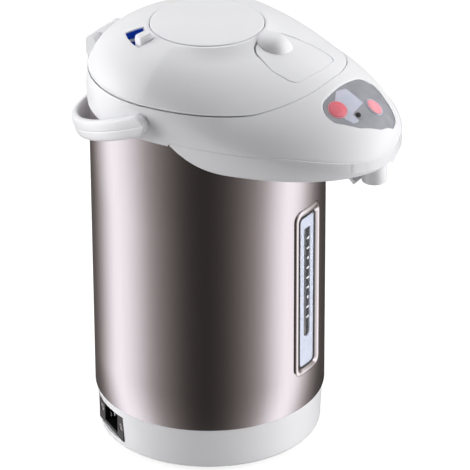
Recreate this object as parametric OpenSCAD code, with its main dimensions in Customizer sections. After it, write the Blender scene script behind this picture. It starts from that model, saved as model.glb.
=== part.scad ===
// Electric thermo pot. Millimetres, +Z up, spout towards -Y, lid hinge towards +Y.
// The origin is on the axis of the body, in the plane that the pot stands on.

/* [Casing] */
// Outer radius of the steel casing
body_r = 92; // [88:0.5:98]
// Wall of the steel casing
casing_t = 1; // [0.6:0.1:1.6]
// Visible height of the steel casing
casing_h = 247.3; // [235:1:260]

/* [Base] */
// Height of the plastic base under the casing
base_h = 38; // [36:0.5:46]
// How far the base stands in from the casing
base_inset = 1.3; // [1:0.1:2.5]
// Wall of the base shell
base_t = 2.6; // [2:0.1:3.2]
// Rounding of the lower edge of the base
base_round = 7; // [5:0.5:8]
// Height of the rubber foot ring
foot_h = 2.5; // [2:0.1:4]
// Middle radius of the foot ring
foot_r = 76; // [74:0.5:78]
// Width of the foot ring
foot_w = 6; // [4:0.5:7]

/* [Inner pot] */
// Wall of the inner pot
pot_t = 1; // [0.6:0.1:1.4]
// Height of the bottom of the inner pot
pot_z = 66; // [64:0.5:72]
// Rounding between the pot's wall and bottom
pot_round = 10; // [6:1:14]
// Gap between the inner pot and the sight tube
pot_gap = 1; // [0.6:0.1:2]

/* [Head] */
// How far the head stands out from the casing at its sides
head_flare = 3.5; // [3:0.1:5]
// Reach of the snout in front of the lid
snout_reach = 52; // [50:0.5:54]
// Height of the dome above the top of the casing
dome_h = 64.7; // [62:0.5:68]
// Height of the lid seam above the top of the casing
seam_h = 28.6; // [27.6:0.2:30.6]
// How far the snout hangs below the top of the casing
belly_drop = 19; // [17:0.5:21]
// Wall of the head's shells
shell_t = 2.4; // [2:0.1:2.8]
// Gap of the seams between the lid and the head
seam_gap = 0.5; // [0.4:0.1:0.8]
// Reach of the lid's front edge from the body's axis
lid_reach = 109; // [106:0.5:112]

/* [Mouth and lid] */
// Wall of the filling mouth
mouth_t = 2.5; // [2:0.1:3]
// Gap around the plug under the lid
plug_gap = 4; // [3.6:0.1:6]
// Depth of the plug below the seam
plug_depth = 30; // [24:1:32]
// Radius of the lid's hinge barrel
barrel_r = 5; // [4.5:0.5:5.5]
// Radius of the lid's hinge pin
hinge_pin_r = 2; // [1.5:0.1:2.4]
// Half width of the hinge
hinge_half = 20; // [16:1:24]
// Half width of the lid's own knuckle
knuckle_half = 10.5; // [8:0.5:12]

/* [Pump plate] */
// Radius of the pump plate
pump_r = 44; // [42:0.5:45]
// Travel of the pump plate
pump_travel = 20; // [14:1:21]
// Crown of the pump plate
pump_crown = 3; // [2:0.2:4]
// Outer radius of the bellows
bellows_r = 37; // [32:0.5:38]
// Number of bellows folds
bellows_folds = 6; // [4:1:8]
// Turns of the pump spring
spring_turns = 6; // [4:1:8]

/* [Lid lever] */
// Half width of the lid lever
lever_half = 29.5; // [27.5:0.5:31]
// Distance of the lever's rear edge from the body's axis
lever_rear = 50; // [49:0.5:53]
// Width of the lid's edge in front of the lever
lever_edge = 10; // [9:0.5:14]
// Radius of the lever's pin
lever_pin_r = 1.5; // [1.2:0.1:1.8]
// Radius of the round grip on the lever
grip_r = 14; // [11:0.5:14.5]

/* [Pump lock] */
// Inner radius of the lock tab
lock_in = 49.5; // [49:0.5:51]
// Outer radius of the lock tab
lock_out = 62; // [58:0.5:63]
// Angle of the lock tab's middle, from -X towards +Y
lock_angle = 31; // [28:1:38]
// Angle that the lock tab covers
lock_span = 12; // [10:1:14]
// Angle that the lock tab turns
lock_turn = 13; // [8:1:15]

/* [Handle] */
// Clear gap between the head and the handle's arms
handle_gap = 2; // [1.6:0.1:3]
// Thickness of the handle
handle_t = 7; // [6:0.5:9]
// Width of the handle
handle_w = 17; // [15:0.5:18]
// Gap between the swinging handle and the lid's hinge
handle_clear = 1; // [0.8:0.1:4]
// Angle of the resting handle below level
handle_rest = 22; // [20:0.5:22.5]
// Radius of the handle's pivots
pivot_r = 5; // [4:0.1:6]
// Height of the handle's pivots above the top of the casing
pivot_up = 14.7; // [13:0.5:17]

/* [Spout and cup lever] */
// Outer radius of the spout tube
spout_r = 9.8; // [9:0.1:10.5]
// Wall of the spout tube
spout_t = 1.8; // [1.4:0.1:2.2]
// Distance of the spout's middle behind the tip of the snout
spout_back = 12.4; // [12.4:0.2:15]
// How far the spout tube hangs below the snout
spout_drop = 16.5; // [14:0.5:18]
// Half width of the cup lever
cup_half = 11; // [9:0.5:13]
// Radius of the cup lever's pin
cup_pin_r = 1.5; // [1.2:0.1:1.8]

/* [Control panel] */
// Gap between the lid and the panel
panel_gap = 8; // [7:0.5:9]
// Depth of the panel's recess
panel_t = 1.4; // [1:0.1:1.8]
// Radius of the round buttons
button_r = 6.4; // [5.5:0.1:7]
// Travel of the buttons
button_travel = 1.2; // [0.8:0.1:1.5]
// Radius of the indicator lamp
led_r = 2; // [1.5:0.1:2.5]

/* [Level window] */
// Half width of the window's frame
frame_half = 18.2; // [16.5:0.1:19]
// Half width of the scale plate that shows
plate_half = 11.6; // [10.5:0.1:12.5]
// Height of the lower edge of the frame
frame_z = 68; // [64:0.5:72]
// Height of the window's frame
frame_h = 145.5; // [140:0.5:150]
// Width of the level slot
slot_w = 5.4; // [4:0.1:6.5]
// Outer radius of the sight tube
sight_r = 4.4; // [3.8:0.1:4.4]
// How far the frame stands out from the casing
frame_out = 1.6; // [1:0.1:2.2]

/* [Power inlet] */
// Half width of the power inlet
inlet_half = 23; // [21:0.5:24]
// Height of the power inlet
inlet_h = 22; // [20:0.5:24]
// Height of the inlet's middle
inlet_z = 19.5; // [18.5:0.5:20.5]
// Direction of the inlet, from the front towards -X
inlet_angle = 123; // [118:0.5:130]

/* [Inside] */
// Radius of the hoses
hose_r = 3.2; // [2.8:0.1:3.4]
// Radius of the bore of the hoses
hose_bore = 2; // [1.5:0.1:2.2]
// Radius of the pump's volute
volute_r = 16; // [15:0.5:16.5]
// Radius of the pump's motor
motor_r = 13.5; // [12:0.5:14]
// Radius of the heating disc
heater_r = 38; // [34:1:40]

/* [Hidden] */
$fn = 96;

// Colours of the real pieces
white = [0.93, 0.93, 0.94];
pale = [0.86, 0.87, 0.89];
steel = [0.55, 0.50, 0.47];
metal = [0.75, 0.76, 0.78];
dark = [0.10, 0.10, 0.11];
grey = [0.55, 0.56, 0.58];
pink = [0.93, 0.47, 0.52];
blue = [0.12, 0.26, 0.60];
clear = [0.80, 0.86, 0.90];
rubber = [0.25, 0.25, 0.26];
green = [0.10, 0.42, 0.22];

// Clearances and small overlaps
run_gap = 0.06;   // radial clearance of a pin that turns
fit = 0.2;        // gap between fixed pieces that fit together
free = 0.4;       // gap between pieces that move past each other
eps = 0.01;

// Heights
casing_z = base_h;
top_z = casing_z + casing_h;
collar_z = top_z + fit;
seam_z = top_z + seam_h;
dome_z = top_z + dome_h;
edge_z = top_z + 14.2;
nose_top_z = top_z - 3.3;
nose_edge_z = top_z - belly_drop + 2;
belly_z = top_z - belly_drop;
deck_z = seam_z - 1;
pivot_z = top_z + pivot_up;

// The head's outline and form
head_a = body_r + head_flare;
head_b = lid_reach + snout_reach;
head_rear = body_r + 0.8;
outline_power = 2.2;
rear_power = 2.5;
side_power = 1.75;
ridge_power = 1.35;
ridge_root = 1.9;
lid_power = 2.1;
power_blend = 70;
belly_in = 8.5;
belly_power = 1.6;
ring_points = 60;
dome_rings = 10;
belly_steps = [1, 0.85, 0.6, 0.3];

function signed_pow(v, e) = sign(v) * pow(abs(v), e);
// Outline of the head in plan: half an ellipse at the rear, a superellipse at the front
function outline(phi, a, b, rear) =
  let (s = sin(phi), c = cos(phi))
  c > 0
    ? [a * signed_pow(s, 2 / outline_power), -b * signed_pow(c, 2 / outline_power)]
    : [a * s, -rear * c];
// Half width of the snout at a place in front of the axis
function half_width(y, a, b) = a * pow(max(0, 1 - pow(min(1, -y / b), outline_power)), 1 / outline_power);
// Height of the widest line, which drops towards the nose
function widest_z(y) = y < 0 ? edge_z + (nose_edge_z - edge_z) * pow(min(1, -y / head_b), 2) : edge_z;
// Height of the ridge along the middle of the snout
function ridge_z(y, d) =
  nose_top_z + (dome_z - d - nose_top_z)
    * pow(max(0, 1 - pow(min(1, -y / (head_b - d)), ridge_power)), 1 / ridge_root);
function dome_rear_z(r, d) =
  edge_z + (dome_z - d - edge_z)
    * pow(max(0, 1 - pow(min(1, r / (head_a - d)), rear_power)), 1 / rear_power);
// Height of the head's upper skin, set in by d
function skin_z(x, y, d = 0) =
  y >= 0
    ? dome_rear_z(norm([x, y * head_a / head_rear]), d)
    : let (
        w = max(eps, half_width(y, head_a - d, head_b - d)),
        k = min(1, -y / power_blend),
        m = rear_power + (side_power - rear_power) * k,
        t = min(1, abs(x) / w))
      widest_z(y) + (ridge_z(y, d) - widest_z(y)) * pow(max(0, 1 - pow(t, m)), 1 / m);
// Unit normal of the skin, from small steps along X and Y
function skin_normal(x, y) =
  let (
    h = 0.5,
    n = [
      (skin_z(x - h, y) - skin_z(x + h, y)) / (2 * h),
      (skin_z(x, y - h) - skin_z(x, y + h)) / (2 * h),
      1])
  n / norm(n);

// The whole head as one closed form, set in by d on all sides but the bottom
module head_form(d = 0) {
  n = ring_points;
  low = [
    for (s = belly_steps) [
      for (i = [0:n - 1])
        let (
          p = outline(
            i * 360 / n, head_a - d - belly_in * pow(s, belly_power), head_b - d - 3 * s, head_rear - d),
          z = widest_z(p[1]))
        [p[0], p[1], z + (belly_z - z) * s]]];
  edge = [
    for (i = [0:n - 1])
      let (p = outline(i * 360 / n, head_a - d, head_b - d, head_rear - d))
      [p[0], p[1], widest_z(p[1])]];
  high = [
    for (k = [1:dome_rings - 1]) [
      for (i = [0:n - 1])
        let (p = outline(i * 360 / n, head_a - d, head_b - d, head_rear - d) * cos(90 * k / dome_rings))
        [p[0], p[1], skin_z(p[0], p[1], d)]]];
  rings = concat(low, [edge], high);
  m = len(rings);
  points = concat([for (r = rings) each r], [[0, 0, belly_z], [0, 0, skin_z(0, 0, d)]]);
  bottom = m * n;
  crown = m * n + 1;
  sides = [
    for (k = [0:m - 2]) for (i = [0:n - 1])
      let (j = (i + 1) % n)
      each [
        [k * n + i, (k + 1) * n + i, (k + 1) * n + j],
        [k * n + i, (k + 1) * n + j, k * n + j]]];
  floor_fan = [for (i = [0:n - 1]) [bottom, i, (i + 1) % n]];
  crown_fan = [for (i = [0:n - 1]) [crown, (m - 1) * n + (i + 1) % n, (m - 1) * n + i]];
  polyhedron(points, concat(sides, floor_fan, crown_fan), convexity = 4);
}

// Plan of the lid: a superellipse at the front, and past the head at the rear
lid_points = 40;
module lid_plan(g = 0) {
  polygon(concat(
    [for (i = [0:lid_points])
      let (a = -90 + 180 * i / lid_points)
      [(head_a + g) * signed_pow(sin(a), 2 / lid_power), -(lid_reach + g) * signed_pow(cos(a), 2 / lid_power)]],
    [[head_a + 20, 0], [head_a + 20, head_a + 20], [-head_a - 20, head_a + 20], [-head_a - 20, 0]]));
}
module lid_space(g, z) translate([0, 0, z]) linear_extrude(dome_z - z + 20) lid_plan(g);

// A profile in the YZ plane drawn along X
module along_x(half) rotate([90, 0, 90]) translate([0, 0, -half]) linear_extrude(2 * half) children();

// The snout's underside: level with the collar at the sides, then down to the belly
belly_start = 24;
belly_end = 54;
function under_z(y, lift = 0) =
  let (k = min(1, max(0, (-y - belly_start) / (belly_end - belly_start))))
  collar_z + (belly_z - collar_z) * sin(90 * k) + lift;
module above_underside(lift = 0) {
  steps = 10;
  polygon(concat(
    [[head_a + 30, collar_z + lift], [-belly_start, collar_z + lift]],
    [for (i = [1:steps])
      let (y = -belly_start - (belly_end - belly_start) * i / steps)
      [y, under_z(y, lift)]],
    [[-head_b - 20, belly_z + lift], [-head_b - 20, dome_z + 20], [head_a + 30, dome_z + 20]]));
}
// The parting line between the head and the snout's lower cover
parting_up = 3.7;
parting_drop = 12;
parting_from = head_b - 56;
function parting_z(y) =
  top_z + parting_up - parting_drop * pow(max(0, (-y - parting_from) / (head_b - parting_from)), 1.6);
module above_parting(lift = 0) {
  steps = 10;
  polygon(concat(
    [[head_a + 30, collar_z], [-belly_start + lift, collar_z],
     [-belly_start + lift, top_z + parting_up + lift]],
    [for (i = [0:steps])
      let (y = -parting_from - (head_b - parting_from) * i / steps)
      [y, parting_z(y) + lift]],
    [[-head_b - 20, parting_z(-head_b) + lift], [-head_b - 20, dome_z + 20], [head_a + 30, dome_z + 20]]));
}

// Simple shapes used by many pieces
module tube(r_out, r_in, h) difference() {
  cylinder(r = r_out, h = h);
  translate([0, 0, -1]) cylinder(r = r_in, h = h + 2);
}
module rod_x(r, half) rotate([0, 90, 0]) translate([0, 0, -half]) cylinder(r = r, h = 2 * half);
module block(x0, x1, y0, y1, z0, z1) translate([x0, y0, z0]) cube([x1 - x0, y1 - y0, z1 - z0]);
module rounded_section(w, h, r) {
  translate([-w / 2 + r, -h / 2]) square([w - 2 * r, h]);
  translate([-w / 2, -h / 2 + r]) square([w, h - 2 * r]);
  for (sx = [-1, 1]) for (sy = [-1, 1])
    translate([sx * (w / 2 - r), sy * (h / 2 - r)]) circle(r = r, $fn = 48);
}
// A quarter bend in the YZ plane: from straight up at the origin to straight along -Y (or +Y)
module bend(bend_r, r, way) {
  translate([0, way * bend_r, 0]) rotate([0, 90, 0]) intersection() {
    rotate_extrude($fn = 64) translate([bend_r, 0]) circle(r = r, $fn = 32);
    translate([-bend_r - r, way > 0 ? -bend_r - r : 0, -r]) cube([bend_r + r, bend_r + r, 2 * r]);
  }
}

// ---- Base ----
base_r = body_r - base_inset;
base_r_low = base_r - 1.7;
base_floor_z = foot_h;
base_corner_r = base_r_low - base_round;
spigot_h = 8;
module base_section(in) {
  cz = base_floor_z + base_round;
  polygon([
    [0, cz], [base_r_low - in, cz], [base_r - in, casing_z], [0, casing_z]]);
  translate([base_corner_r, cz]) intersection() {
    circle(r = base_round - in);
    translate([0, -base_round]) square(base_round);
  }
  translate([0, base_floor_z + in]) square([base_corner_r, base_round - in]);
}
inlet_front = sqrt(pow(base_r, 2) - pow(inlet_half, 2)) - 0.6;
module at_inlet() rotate([0, 0, -inlet_angle]) children();
module base_shell() color(white) difference() {
  union() {
    rotate_extrude() difference() {
      base_section(0);
      base_section(base_t);
      square([foot_r - foot_w / 2 - 4, base_h]);
      translate([0, casing_z - 2 * base_t]) square([base_r - base_t, base_h]);
    }
    translate([0, 0, casing_z - 3]) tube(body_r - casing_t - run_gap, body_r - casing_t - base_t, spigot_h);
    translate([0, 0, casing_z - 3]) tube(base_r, body_r - casing_t - base_t, 3);
  }
  translate([0, 0, casing_z]) tube(base_r + 5, body_r - casing_t - run_gap, 3);
  at_inlet() block(-inlet_half - fit, inlet_half + fit, -body_r - 2, -inlet_front + 22,
    inlet_z - inlet_h / 2 - fit, inlet_z + inlet_h / 2 + fit);
}
cover_r = foot_r - foot_w / 2 - 4 - fit;
cover_top = base_floor_z + base_t + fit;
post_r = 3.5;
board_z = 18;
board_x = [-22, 44];
board_y = [14, 62];
motor_pad_z = base_floor_z + 7;
module bottom_cover() color(white) difference() {
  union() {
    translate([0, 0, base_floor_z]) cylinder(r = cover_r, h = base_t);
    translate([0, 0, cover_top]) cylinder(r = cover_r + 8, h = 2);
    translate([0, 0, base_floor_z + base_t - 0.5]) cylinder(r = cover_r, h = 2);
    for (x = board_x) for (y = board_y)
      translate([x + 5 * sign(11 - x), y + 5 * sign(38 - y), cover_top])
        cylinder(r = post_r, h = board_z - cover_top, $fn = 32);
    translate([0, -pump_y, cover_top]) cylinder(r = motor_r + 2.5, h = motor_pad_z - cover_top + 4);
  }
  translate([0, -pump_y, motor_pad_z]) cylinder(r = motor_r + fit, h = 10);
  for (a = [150:15:210]) rotate([0, 0, a]) translate([0, -38, base_floor_z - 1]) block(-1.5, 1.5, -10, 10, 0, 12);
}
module foot_ring() color(rubber) rotate_extrude() translate([foot_r - foot_w / 2, 0]) square([foot_w, foot_h]);
screw_r = 1.6;
module base_screws() color(metal) for (a = [45:90:315]) rotate([0, 0, a])
  translate([0, cover_r - 5, 0]) {
    translate([0, 0, base_floor_z - 1.4]) cylinder(r = 3, h = 1.4, $fn = 32);
  }

// ---- Casing and level window ----
window_turn = -1;
pane_half = plate_half + 1.4;
window_z0 = frame_z + 5;
window_z1 = frame_z + frame_h - 7;
module at_window() rotate([0, 0, window_turn]) children();
module casing_ring(r_out, r_in, half, z0, z1) at_window() intersection() {
  translate([0, 0, z0]) tube(r_out, r_in, z1 - z0);
  block(-half, half, -body_r - 10, -body_r / 2, z0, z1);
}
module steel_casing() color(steel) difference() {
  translate([0, 0, casing_z]) tube(body_r, body_r - casing_t, casing_h);
  at_window() block(-pane_half - 1.6, pane_half + 1.6, -body_r - 5, -body_r / 2,
    window_z0 - 2.6, window_z1 + 2.6);
}
frame_root = body_r - casing_t - 0.8;
module window_frame() color(metal) difference() {
  union() {
    casing_ring(body_r + frame_out, body_r + 0.05, frame_half, frame_z, frame_z + frame_h);
    casing_ring(body_r + frame_out, frame_root, pane_half + 1.4, window_z0 - 2.4, window_z1 + 2.4);
  }
  at_window() block(-plate_half, plate_half, -body_r - 10, -body_r / 2, window_z0, window_z1);
}
pane_r = body_r - 0.1;
pane_t = 1;
module window_pane() color(clear)
  casing_ring(pane_r, pane_r - pane_t, plate_half - fit, window_z0 + fit, window_z1 - fit);
plate_r = frame_root - 0.1;
plate_t = 1;
slot_z0 = frame_z + 31;
slot_z1 = frame_z + frame_h - 18.5;
module scale_plate() color(pale) difference() {
  casing_ring(plate_r, plate_r - plate_t, pane_half + 3, window_z0 - 4, window_z1 + 4);
  at_window() block(-slot_w / 2, slot_w / 2, -body_r, -body_r / 2, slot_z0 + slot_w / 2, slot_z1);
  at_window() translate([0, 0, slot_z0 + slot_w / 2]) rotate([90, 0, 0])
    cylinder(r = slot_w / 2, h = body_r + 5, $fn = 32);
}
tube_y = plate_r - plate_t - sight_r - 0.3;
tube_z0 = frame_z + 22;
tube_z1 = frame_z + frame_h - 5.5;
module sight_tube() color(clear) translate([0, -tube_y, tube_z0]) tube(sight_r, sight_r - 1.2, tube_z1 - tube_z0);
fitting_r = sight_r + 0.1;
module tube_fittings() color(rubber) {
  translate([0, -tube_y, tube_z0 - 10]) tube(fitting_r, hose_r + run_gap, 10);
  translate([0, -tube_y, tube_z1]) tube(fitting_r, hose_r + run_gap, 8);
}

// ---- Inner pot ----
pot_r = tube_y - sight_r - pot_gap;
pot_flange = tube_y - hose_r - fit - pot_r;
mouth_r = pot_r - mouth_t;
plug_r = mouth_r - plug_gap;
pot_h = top_z - 14 - pot_z;
pot_top = pot_z + pot_h;
pump_y = tube_y - volute_r - 11.4;
outlet_r = 4;
module pot_section(in) {
  r = pot_r - in;
  translate([0, pot_z + in]) square([r - (pot_round - in), pot_h]);
  translate([0, pot_z + pot_round]) square([r, pot_h]);
  translate([pot_r - pot_round, pot_z + pot_round]) circle(r = pot_round - in);
}
module inner_pot() color(metal) difference() {
  union() {
    rotate_extrude() difference() {
      intersection() {
        pot_section(0);
        square([pot_r + 10, pot_top]);
      }
      pot_section(pot_t);
    }
    translate([0, 0, pot_top - 1.2]) tube(pot_r + pot_flange, pot_r - 0.5, 1.2);
  }
  translate([0, -pump_y, pot_z - 5]) cylinder(r = outlet_r, h = 20);
}
gasket_h = 2;
module pot_gasket() color(pale) translate([0, 0, pot_top]) tube(pot_r + pot_flange, mouth_r, gasket_h);
heater_t = 7;
module heater_disc() color(metal) translate([0, 0, pot_z - heater_t]) cylinder(r = heater_r, h = heater_t);
module thermostat() color(dark) translate([15, 0, pot_z - heater_t - 8]) {
  cylinder(r = 8, h = 8);
  for (s = [-1, 1]) translate([s * 4 - 0.4, -1.5, -6]) cube([0.8, 3, 6.5]);
}
module thermal_fuse() color(pale) translate([-16, 0, pot_z - heater_t - 2.5]) rod_x(2.5, 9);
stub_h = 10;
module pot_outlet() color(metal) translate([0, -pump_y, pot_z - stub_h]) difference() {
  union() {
    cylinder(r = outlet_r - run_gap, h = stub_h + pot_t);
    translate([0, 0, stub_h - 1.5]) cylinder(r = outlet_r + 3, h = 1.5);
  }
  translate([0, 0, -1]) cylinder(r = outlet_r - 1.2, h = stub_h + pot_t + 2);
}
volute_h = 14;
volute_top = pot_z - stub_h - 4;
volute_z = volute_top - volute_h;
module suction_hose() color(pale) translate([0, -pump_y, volute_top + 1])
  tube(outlet_r + 1.8, outlet_r, stub_h - 1.5 + 4 - 1);
module pump_volute() color(pale) difference() {
  union() {
    translate([0, -pump_y, volute_z]) cylinder(r = volute_r, h = volute_h);
    translate([0, -pump_y, volute_top]) cylinder(r = outlet_r - run_gap, h = 3.5);
    translate([0, -pump_y, volute_z + 7]) rotate([90, 0, 0]) cylinder(r = hose_bore - run_gap, h = volute_r + 3);
  }
  translate([0, -pump_y, volute_z + 2]) cylinder(r = volute_r - 2, h = volute_h - 4);
  translate([0, -pump_y, volute_z - 1]) cylinder(r = 1.5 + run_gap, h = 5);
  translate([0, -pump_y, volute_top - 3]) cylinder(r = outlet_r - 1.2, h = 10);
  translate([0, -pump_y, volute_z + 7]) rotate([90, 0, 0]) cylinder(r = 1, h = volute_r + 10);
}
module pump_impeller() color(dark) translate([0, -pump_y, 0]) {
  translate([0, 0, volute_z + 2.6]) cylinder(r = volute_r - 4, h = 1.6);
  for (a = [0:60:300]) rotate([0, 0, a]) translate([3, -0.6, volute_z + 4]) cube([volute_r - 8, 1.2, 5]);
  translate([0, 0, volute_z - 4]) cylinder(r = 1.5, h = 13);
}
module pump_motor() color(metal) translate([0, -pump_y, 0]) difference() {
  translate([0, 0, motor_pad_z]) cylinder(r = motor_r, h = volute_z - motor_pad_z);
  translate([0, 0, volute_z - 5]) cylinder(r = 1.5 + run_gap, h = 6);
}
bend_r = 8;
out_z = volute_z + 7;
module delivery_path(r) {
  translate([0, -pump_y - volute_r, out_z]) rotate([90, 0, 0]) cylinder(r = r, h = tube_y - pump_y - volute_r - bend_r);
  translate([0, -tube_y, out_z + bend_r]) mirror([0, 0, 1]) bend(bend_r, r, 1);
  translate([0, -tube_y, out_z + bend_r - eps]) cylinder(r = r, h = tube_z0 - out_z - bend_r + eps);
}
module delivery_hose() color(pale) difference() {
  delivery_path(hose_r);
  delivery_path(hose_bore);
}
run_z = top_z + 3.5;
nozzle_z = run_z - bend_r - 2;
module riser_path(r) {
  translate([0, -tube_y, tube_z1]) cylinder(r = r, h = run_z - tube_z1 - bend_r);
  translate([0, -tube_y, run_z - bend_r]) bend(bend_r, r, -1);
  translate([0, -tube_y - bend_r, run_z]) rotate([90, 0, 0]) cylinder(r = r, h = spout_y - tube_y - 2 * bend_r);
  translate([0, -spout_y, run_z - bend_r]) bend(bend_r, r, 1);
}
module riser_hose() color(pale) difference() {
  riser_path(hose_r);
  riser_path(hose_bore);
}

// ---- Electrics in the base ----
module power_board() color(green)
  block(board_x[0], board_x[1], board_y[0], board_y[1], board_z, board_z + 1.6);
module board_parts() {
  z = board_z + 1.6;
  color(dark) block(board_x[0] + 6, board_x[0] + 30, board_y[0] + 6, board_y[0] + 28, z, z + 20);
  color(blue) block(board_x[1] - 22, board_x[1] - 6, board_y[0] + 6, board_y[0] + 22, z, z + 14);
  color(dark) for (i = [0:2]) translate([board_x[0] + 12 + 16 * i, board_y[1] - 9, z]) cylinder(r = 5, h = 15);
}
inlet_depth = 20;
cavity_half = 12.2;
cavity_h = 16.5;
module inlet_socket() color(dark) at_inlet() difference() {
  block(-inlet_half, inlet_half, -inlet_front, -inlet_front + inlet_depth, inlet_z - inlet_h / 2, inlet_z + inlet_h / 2);
  block(-cavity_half, cavity_half, -inlet_front - 1, -inlet_front + inlet_depth - 3, inlet_z - cavity_h / 2, inlet_z + cavity_h / 2);
  for (s = [-1, 1]) translate([s * (inlet_half - 5), -inlet_front + 2, inlet_z]) rotate([90, 0, 0]) cylinder(r = 3.4, h = 5);
  for (s = [-1, 1]) translate([s * (inlet_half - 5), -inlet_front + inlet_depth + 1, inlet_z]) rotate([90, 0, 0])
    cylinder(r = 1.5, h = inlet_depth + 2);
}
module inlet_pins() color(metal) at_inlet()
  for (p = [[-7, -1.5], [0, 2.5], [7, -1.5]])
    block(p[0] - 1, p[0] + 1, -inlet_front + 3, -inlet_front + inlet_depth - 3, inlet_z + p[1] - 2, inlet_z + p[1] + 2);
module inlet_screws() color(metal) at_inlet()
  for (s = [-1, 1]) translate([s * (inlet_half - 5), -inlet_front + 2, inlet_z]) rotate([90, 0, 0]) {
    difference() {
      cylinder(r = 3.2, h = 1.6);
      translate([-0.4, -2.4, 1]) cube([0.8, 4.8, 2]);
      translate([-2.4, -0.4, 1]) cube([4.8, 0.8, 2]);
    }
    translate([0, 0, -12]) cylinder(r = 1.5 - run_gap, h = 12);
  }

// ---- Head ----
hinge_y = head_rear + 1.7;
hinge_z = seam_z + 2.5;
hinge_rear = hinge_y + barrel_r;
ear_front = hinge_y - barrel_r + 0.8;
module at_hinge() translate([0, hinge_y, hinge_z]) children();
lip_t = 1.4;
module shell_of_head() difference() {
  head_form(0);
  head_form(shell_t);
}
module hinge_mount() {
  intersection() {
    block(-hinge_half, hinge_half, head_rear - 6, hinge_rear, collar_z, seam_z - barrel_r - 3);
    translate([0, 0, collar_z]) cylinder(r = hinge_rear + 0.6, h = dome_h);
  }
  for (s = [-1, 1]) {
    x0 = s > 0 ? knuckle_half + free : -hinge_half;
    x1 = s > 0 ? hinge_half : -knuckle_half - free;
    block(x0, x1, ear_front, hinge_rear, seam_z - barrel_r - 4, hinge_z);
    at_hinge() translate([(x0 + x1) / 2, 0, 0]) rod_x(barrel_r, (x1 - x0) / 2);
  }
}
module panel_plan(g = 0) {
  hull() for (c = panel_rounds)
    translate([c[0] + panel_x, -panel_y - c[1]]) circle(r = c[2] + g, $fn = 40);
}
panel_x = 3;
panel_y = lid_reach + panel_gap;
// The panel's rounded corners: sideways, in front of the panel's rear edge, radius
panel_rounds = [[-25, 10, 10], [24.5, 11, 10.5], [16.5, 23.5, 12.7], [-1, 25, 13.6], [-15, 21, 10]];
module panel_space(g) translate([0, 0, top_z - 14]) linear_extrude(60) panel_plan(g);
// The buttons and the lamp: their places on the panel
dispense_at = [-20.8, -panel_y - 11];
reboil_at = [10, -panel_y - 25.5];
lamp_at = [-11.3, -panel_y - 23.4];
stem_r = 2.2;
function on_skin(p) = [p[0], p[1], skin_z(p[0], p[1])];
function tilt_of(p) = let (n = skin_normal(p[0], p[1])) [0, acos(n[2]), atan2(n[1], n[0])];
module at_skin(p) translate(on_skin(p)) rotate(tilt_of(p)) children();
module key_holes(extra) {
  for (p = [dispense_at, reboil_at]) at_skin(p) translate([0, 0, -8]) cylinder(r = button_r + extra, h = 12);
  at_skin(lamp_at) translate([0, 0, -8]) cylinder(r = led_r + fit, h = 12);
}
key_z = top_z + 7.5;
module head_housing() color(white) difference() {
  union() {
    difference() {
      intersection() {
        shell_of_head();
        along_x(head_a + 10) above_parting(fit / 2);
      }
      lid_space(seam_gap, seam_z - seam_gap / 2);
    }
    // wall between the lid and the snout
    intersection() {
      head_form(0.6);
      translate([0, 0, deck_z - shell_t]) linear_extrude(40) difference() {
        lid_plan(seam_gap + shell_t);
        lid_plan(seam_gap);
        translate([-200, -60]) square([400, 400]);
      }
    }
    // lip that locates the casing
    translate([0, 0, collar_z - 8]) tube(body_r - casing_t - run_gap, body_r - casing_t - lip_t, 9);
    translate([0, 0, collar_z]) tube(body_r - 0.6, body_r - casing_t - lip_t, 2.4);
    hinge_mount();
    // posts of the control board
    intersection() {
      head_form(1);
      for (s = [-1, 1]) translate([s * 21.5, -panel_y + 2, key_z + 1.6]) cylinder(r = 2.4, h = 60, $fn = 32);
    }
  }
  at_hinge() rod_x(hinge_pin_r + run_gap, hinge_half + 5);
  at_hinge() rod_x(barrel_r + free, knuckle_half + free);
  translate([0, 0, pivot_z]) rod_x(pivot_r + run_gap, head_a + 10);
  intersection() {
    panel_space(fit);
    difference() {
      head_form(-3);
      head_form(panel_t);
    }
  }
  key_holes(fit + 0.1);
  block(-hose_r - 2, hose_r + 2, -body_r - 2, -body_r / 2, collar_z - 9, run_z + hose_r + 2);
}
neck_z = pot_top + gasket_h;
module mouth_deck() color(white) difference() {
  union() {
    translate([0, 0, neck_z]) cylinder(r = pot_r, h = deck_z - neck_z);
    translate([0, 0, neck_z]) cylinder(r = pot_r + pot_flange, h = 2.2);
    intersection() {
      head_form(shell_t + fit);
      translate([0, 0, deck_z - shell_t]) linear_extrude(shell_t) lid_plan(seam_gap - fit);
    }
  }
  translate([0, 0, neck_z - 1]) cylinder(r = mouth_r, h = 100);
  translate([0, hinge_y, hinge_z]) rod_x(barrel_r + 1, hinge_half + 1);
  block(-hinge_half - free, hinge_half + free, ear_front - free, hinge_rear, deck_z - 5, hinge_z);
}
module snout_cover() color(white) difference() {
  union() {
    difference() {
      intersection() {
        head_form(0);
        along_x(head_a + 10) above_underside(0);
      }
      along_x(head_a + 20) above_parting(-fit / 2);
      intersection() {
        head_form(shell_t);
        along_x(head_a + 20) above_underside(shell_t);
      }
    }
    for (s = [-1, 1]) block(s * (cup_half + 6) - 1.5, s * (cup_half + 6) + 1.5,
      -cup_y - 3.5, -cup_y + 3.5, belly_z + 1, cup_pin_z + 3);
  }
  translate([0, -cup_y, cup_pin_z]) rod_x(cup_pin_r + run_gap, cup_half + 20);
  translate([0, 0, belly_z - 5]) cylinder(r = body_r + fit, h = 60);
  translate([0, -spout_y, belly_z - 5]) cylinder(r = spout_r + 0.15, h = 20);
  block(-cup_half - free, cup_half + free, -cup_y - 16, -cup_y + 5, belly_z - 5, belly_z + shell_t + 1);
}
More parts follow.
